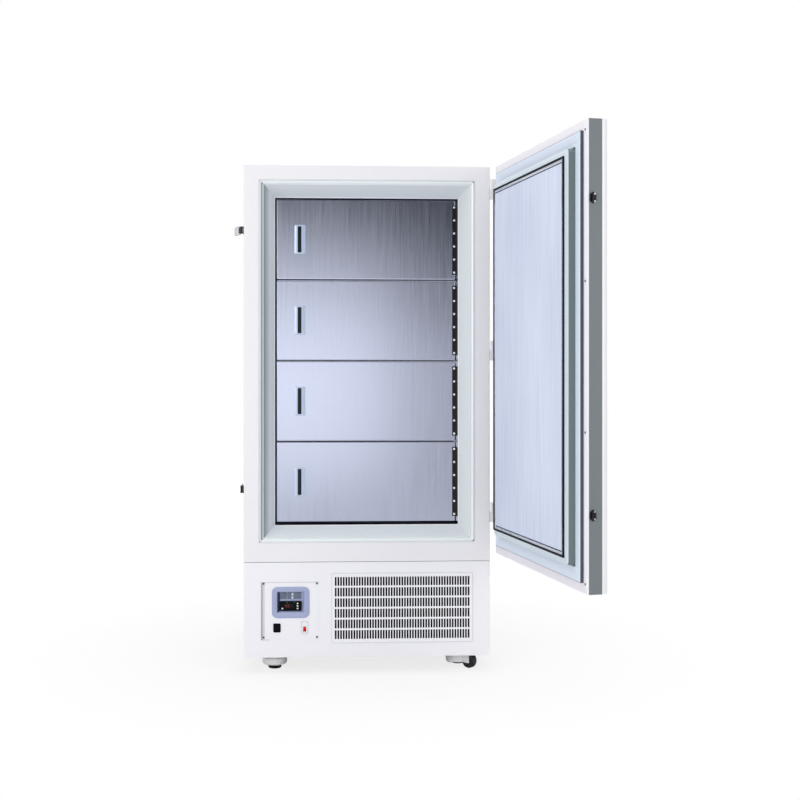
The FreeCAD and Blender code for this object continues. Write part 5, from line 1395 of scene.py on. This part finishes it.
@dataclass
class Studio:
    """A pale floor, soft lamps and the camera at the photograph's place."""

    lens: float = 55.835
    sensor: float = 36.0
    camera_at: Point = (-0.0965, -4.6753, 1.0343)
    yaw: float = 2.799
    shift: float = -0.03308
    floor_reach: float = 30.0
    sky_strength: float = 0.70

    def build(self) -> None:
        """Build the floor, the board, the sky, the lamps and the camera."""
        self._floor()
        self._board()
        self._sky()
        for name, at, aim, size, power in (
                ("key", (-3.0, -4.6, 2.1), (0, 0.1, 0.9), 2.6, 84),
                ("fill", (3.2, -3.0, 1.8), (0, 0, 0.8), 2.4, 32),
                ("front", (-0.6, -5.8, 1.15), (-0.1, 0, 1.0), 1.9, 12),
                ("top", (0.0, -0.8, 4.2), (0, 0, 0.8), 2.8, 36),
                ("rear", (1.9, 3.4, 2.2), (0, 0, 0.9), 2.6, 34)):
            self._lamp(name, at, aim, size, power)
        self._camera()

    @staticmethod
    def _sheet(name: str, corners: Sequence[Point], material: bpy.types.Material) -> Thing:
        """One flat sheet of the studio."""
        mesh = bpy.data.meshes.new(name)
        mesh.from_pydata(corners, [], [(0, 1, 2, 3)])
        mesh.materials.append(material)
        sheet = stand(name, mesh)
        return sheet

    @staticmethod
    def _seen(tree: Tree, unseen: Node, seen: Node, end: str,
              share: Socket) -> None:
        """End a tree with one shader for light and another for the camera.

        Args:
            tree: The tree.
            unseen: The shader that lights.
            seen: The shader that the camera gets.
            end: The type of the tree's output node.
            share: How much of the second shader there is.
        """
        blend = add(tree, "ShaderNodeMixShader", Fac=share, _1=unseen.outputs[0], _2=seen.outputs[0])
        add(tree, end, Surface=blend.outputs[0])

    def _floor(self) -> None:
        """A wide floor that goes to white away from the freezer."""
        material = bpy.data.materials.new("studio floor")
        material.use_nodes = True
        tree = material.node_tree
        tree.nodes.clear()
        place = tree.nodes.new("ShaderNodeTexCoord")
        length = add(tree, "ShaderNodeVectorMath", {"operation": "LENGTH"}, _0=place.outputs["Object"])
        fade = add(tree, "ShaderNodeMapRange", Value=length.outputs["Value"], From_Min=0.6, From_Max=1.3,
                   To_Min=0.8, To_Max=1.0)
        ray = tree.nodes.new("ShaderNodeLightPath")
        matt = add(tree, "ShaderNodeBsdfDiffuse", Color=colour((238, 238, 238)))
        white = add(tree, "ShaderNodeEmission", Color=(1, 1, 1, 1), Strength=1.0)
        self._seen(tree, matt, white, "ShaderNodeOutputMaterial",
                   times(tree, fade.outputs["Result"], ray.outputs["Is Camera Ray"]))
        far = self.floor_reach
        self._sheet("floor", [(-far, -far, 0), (far, -far, 0), (far, far, 0), (-far, far, 0)], material)

    def _board(self) -> None:
        """A dark board high behind the camera, for the upper steel doors to mirror."""
        corners = [(-3.0, -6.4, 1.55), (3.0, -6.4, 1.55), (3.0, -6.0, 4.2), (-3.0, -6.0, 4.2)]
        board = self._sheet("board", corners, STUDIO_BOARD.make())
        board.visible_camera = False

    def _sky(self) -> None:
        """Even soft light, white to the camera."""
        world = bpy.data.worlds.new("studio")
        bpy.context.scene.world = world
        world.use_nodes = True
        tree = world.node_tree
        tree.nodes.clear()
        ray = tree.nodes.new("ShaderNodeLightPath")
        soft = add(tree, "ShaderNodeBackground", Color=(0.97, 0.98, 1.0, 1), Strength=self.sky_strength)
        white = add(tree, "ShaderNodeBackground", Color=(1, 1, 1, 1), Strength=1.0)
        self._seen(tree, soft, white, "ShaderNodeOutputWorld", ray.outputs["Is Camera Ray"])

    @staticmethod
    def _lamp(name: str, at: Point, aim: Point, size: float, power: float) -> None:
        """One square soft lamp.

        Args:
            name: Its name.
            at: Where it stands.
            aim: What it looks at.
            size: Its side.
            power: Its power in watts.
        """
        lamp = bpy.data.lights.new(name, "AREA")
        lamp.size = size
        lamp.energy = power
        holder = stand(name, lamp)
        holder.location = at
        holder.rotation_euler = (Vector(aim) - Vector(at)).to_track_quat("-Z", "Y").to_euler()

    def _camera(self) -> None:
        """The camera, level and turned a little to the right."""
        lens = bpy.data.cameras.new("camera")
        lens.lens = self.lens
        lens.sensor_width = self.sensor
        lens.shift_y = self.shift
        lens.clip_end = 100
        holder = stand("camera", lens)
        holder.location = self.camera_at
        holder.rotation_euler = (math.radians(90), 0, math.radians(-self.yaw))
        bpy.context.scene.camera = holder


def main() -> None:
    """Build the freezer's looks and the studio."""
    logging.basicConfig(level=logging.INFO, format="%(name)s: %(message)s")
    bpy.context.scene.view_settings.view_transform = "Standard"
    screws = ScrewRow()
    CabinetBody().build()
    InnerDoors(screws).build()
    OuterDoor(screws).build()
    SideLatches().build()
    LowerFront(screws, SlottedSheet()).build()
    MachineBay(screws).build()
    Castors().build()
    Studio().build()


if __name__ == "__main__":
    main()
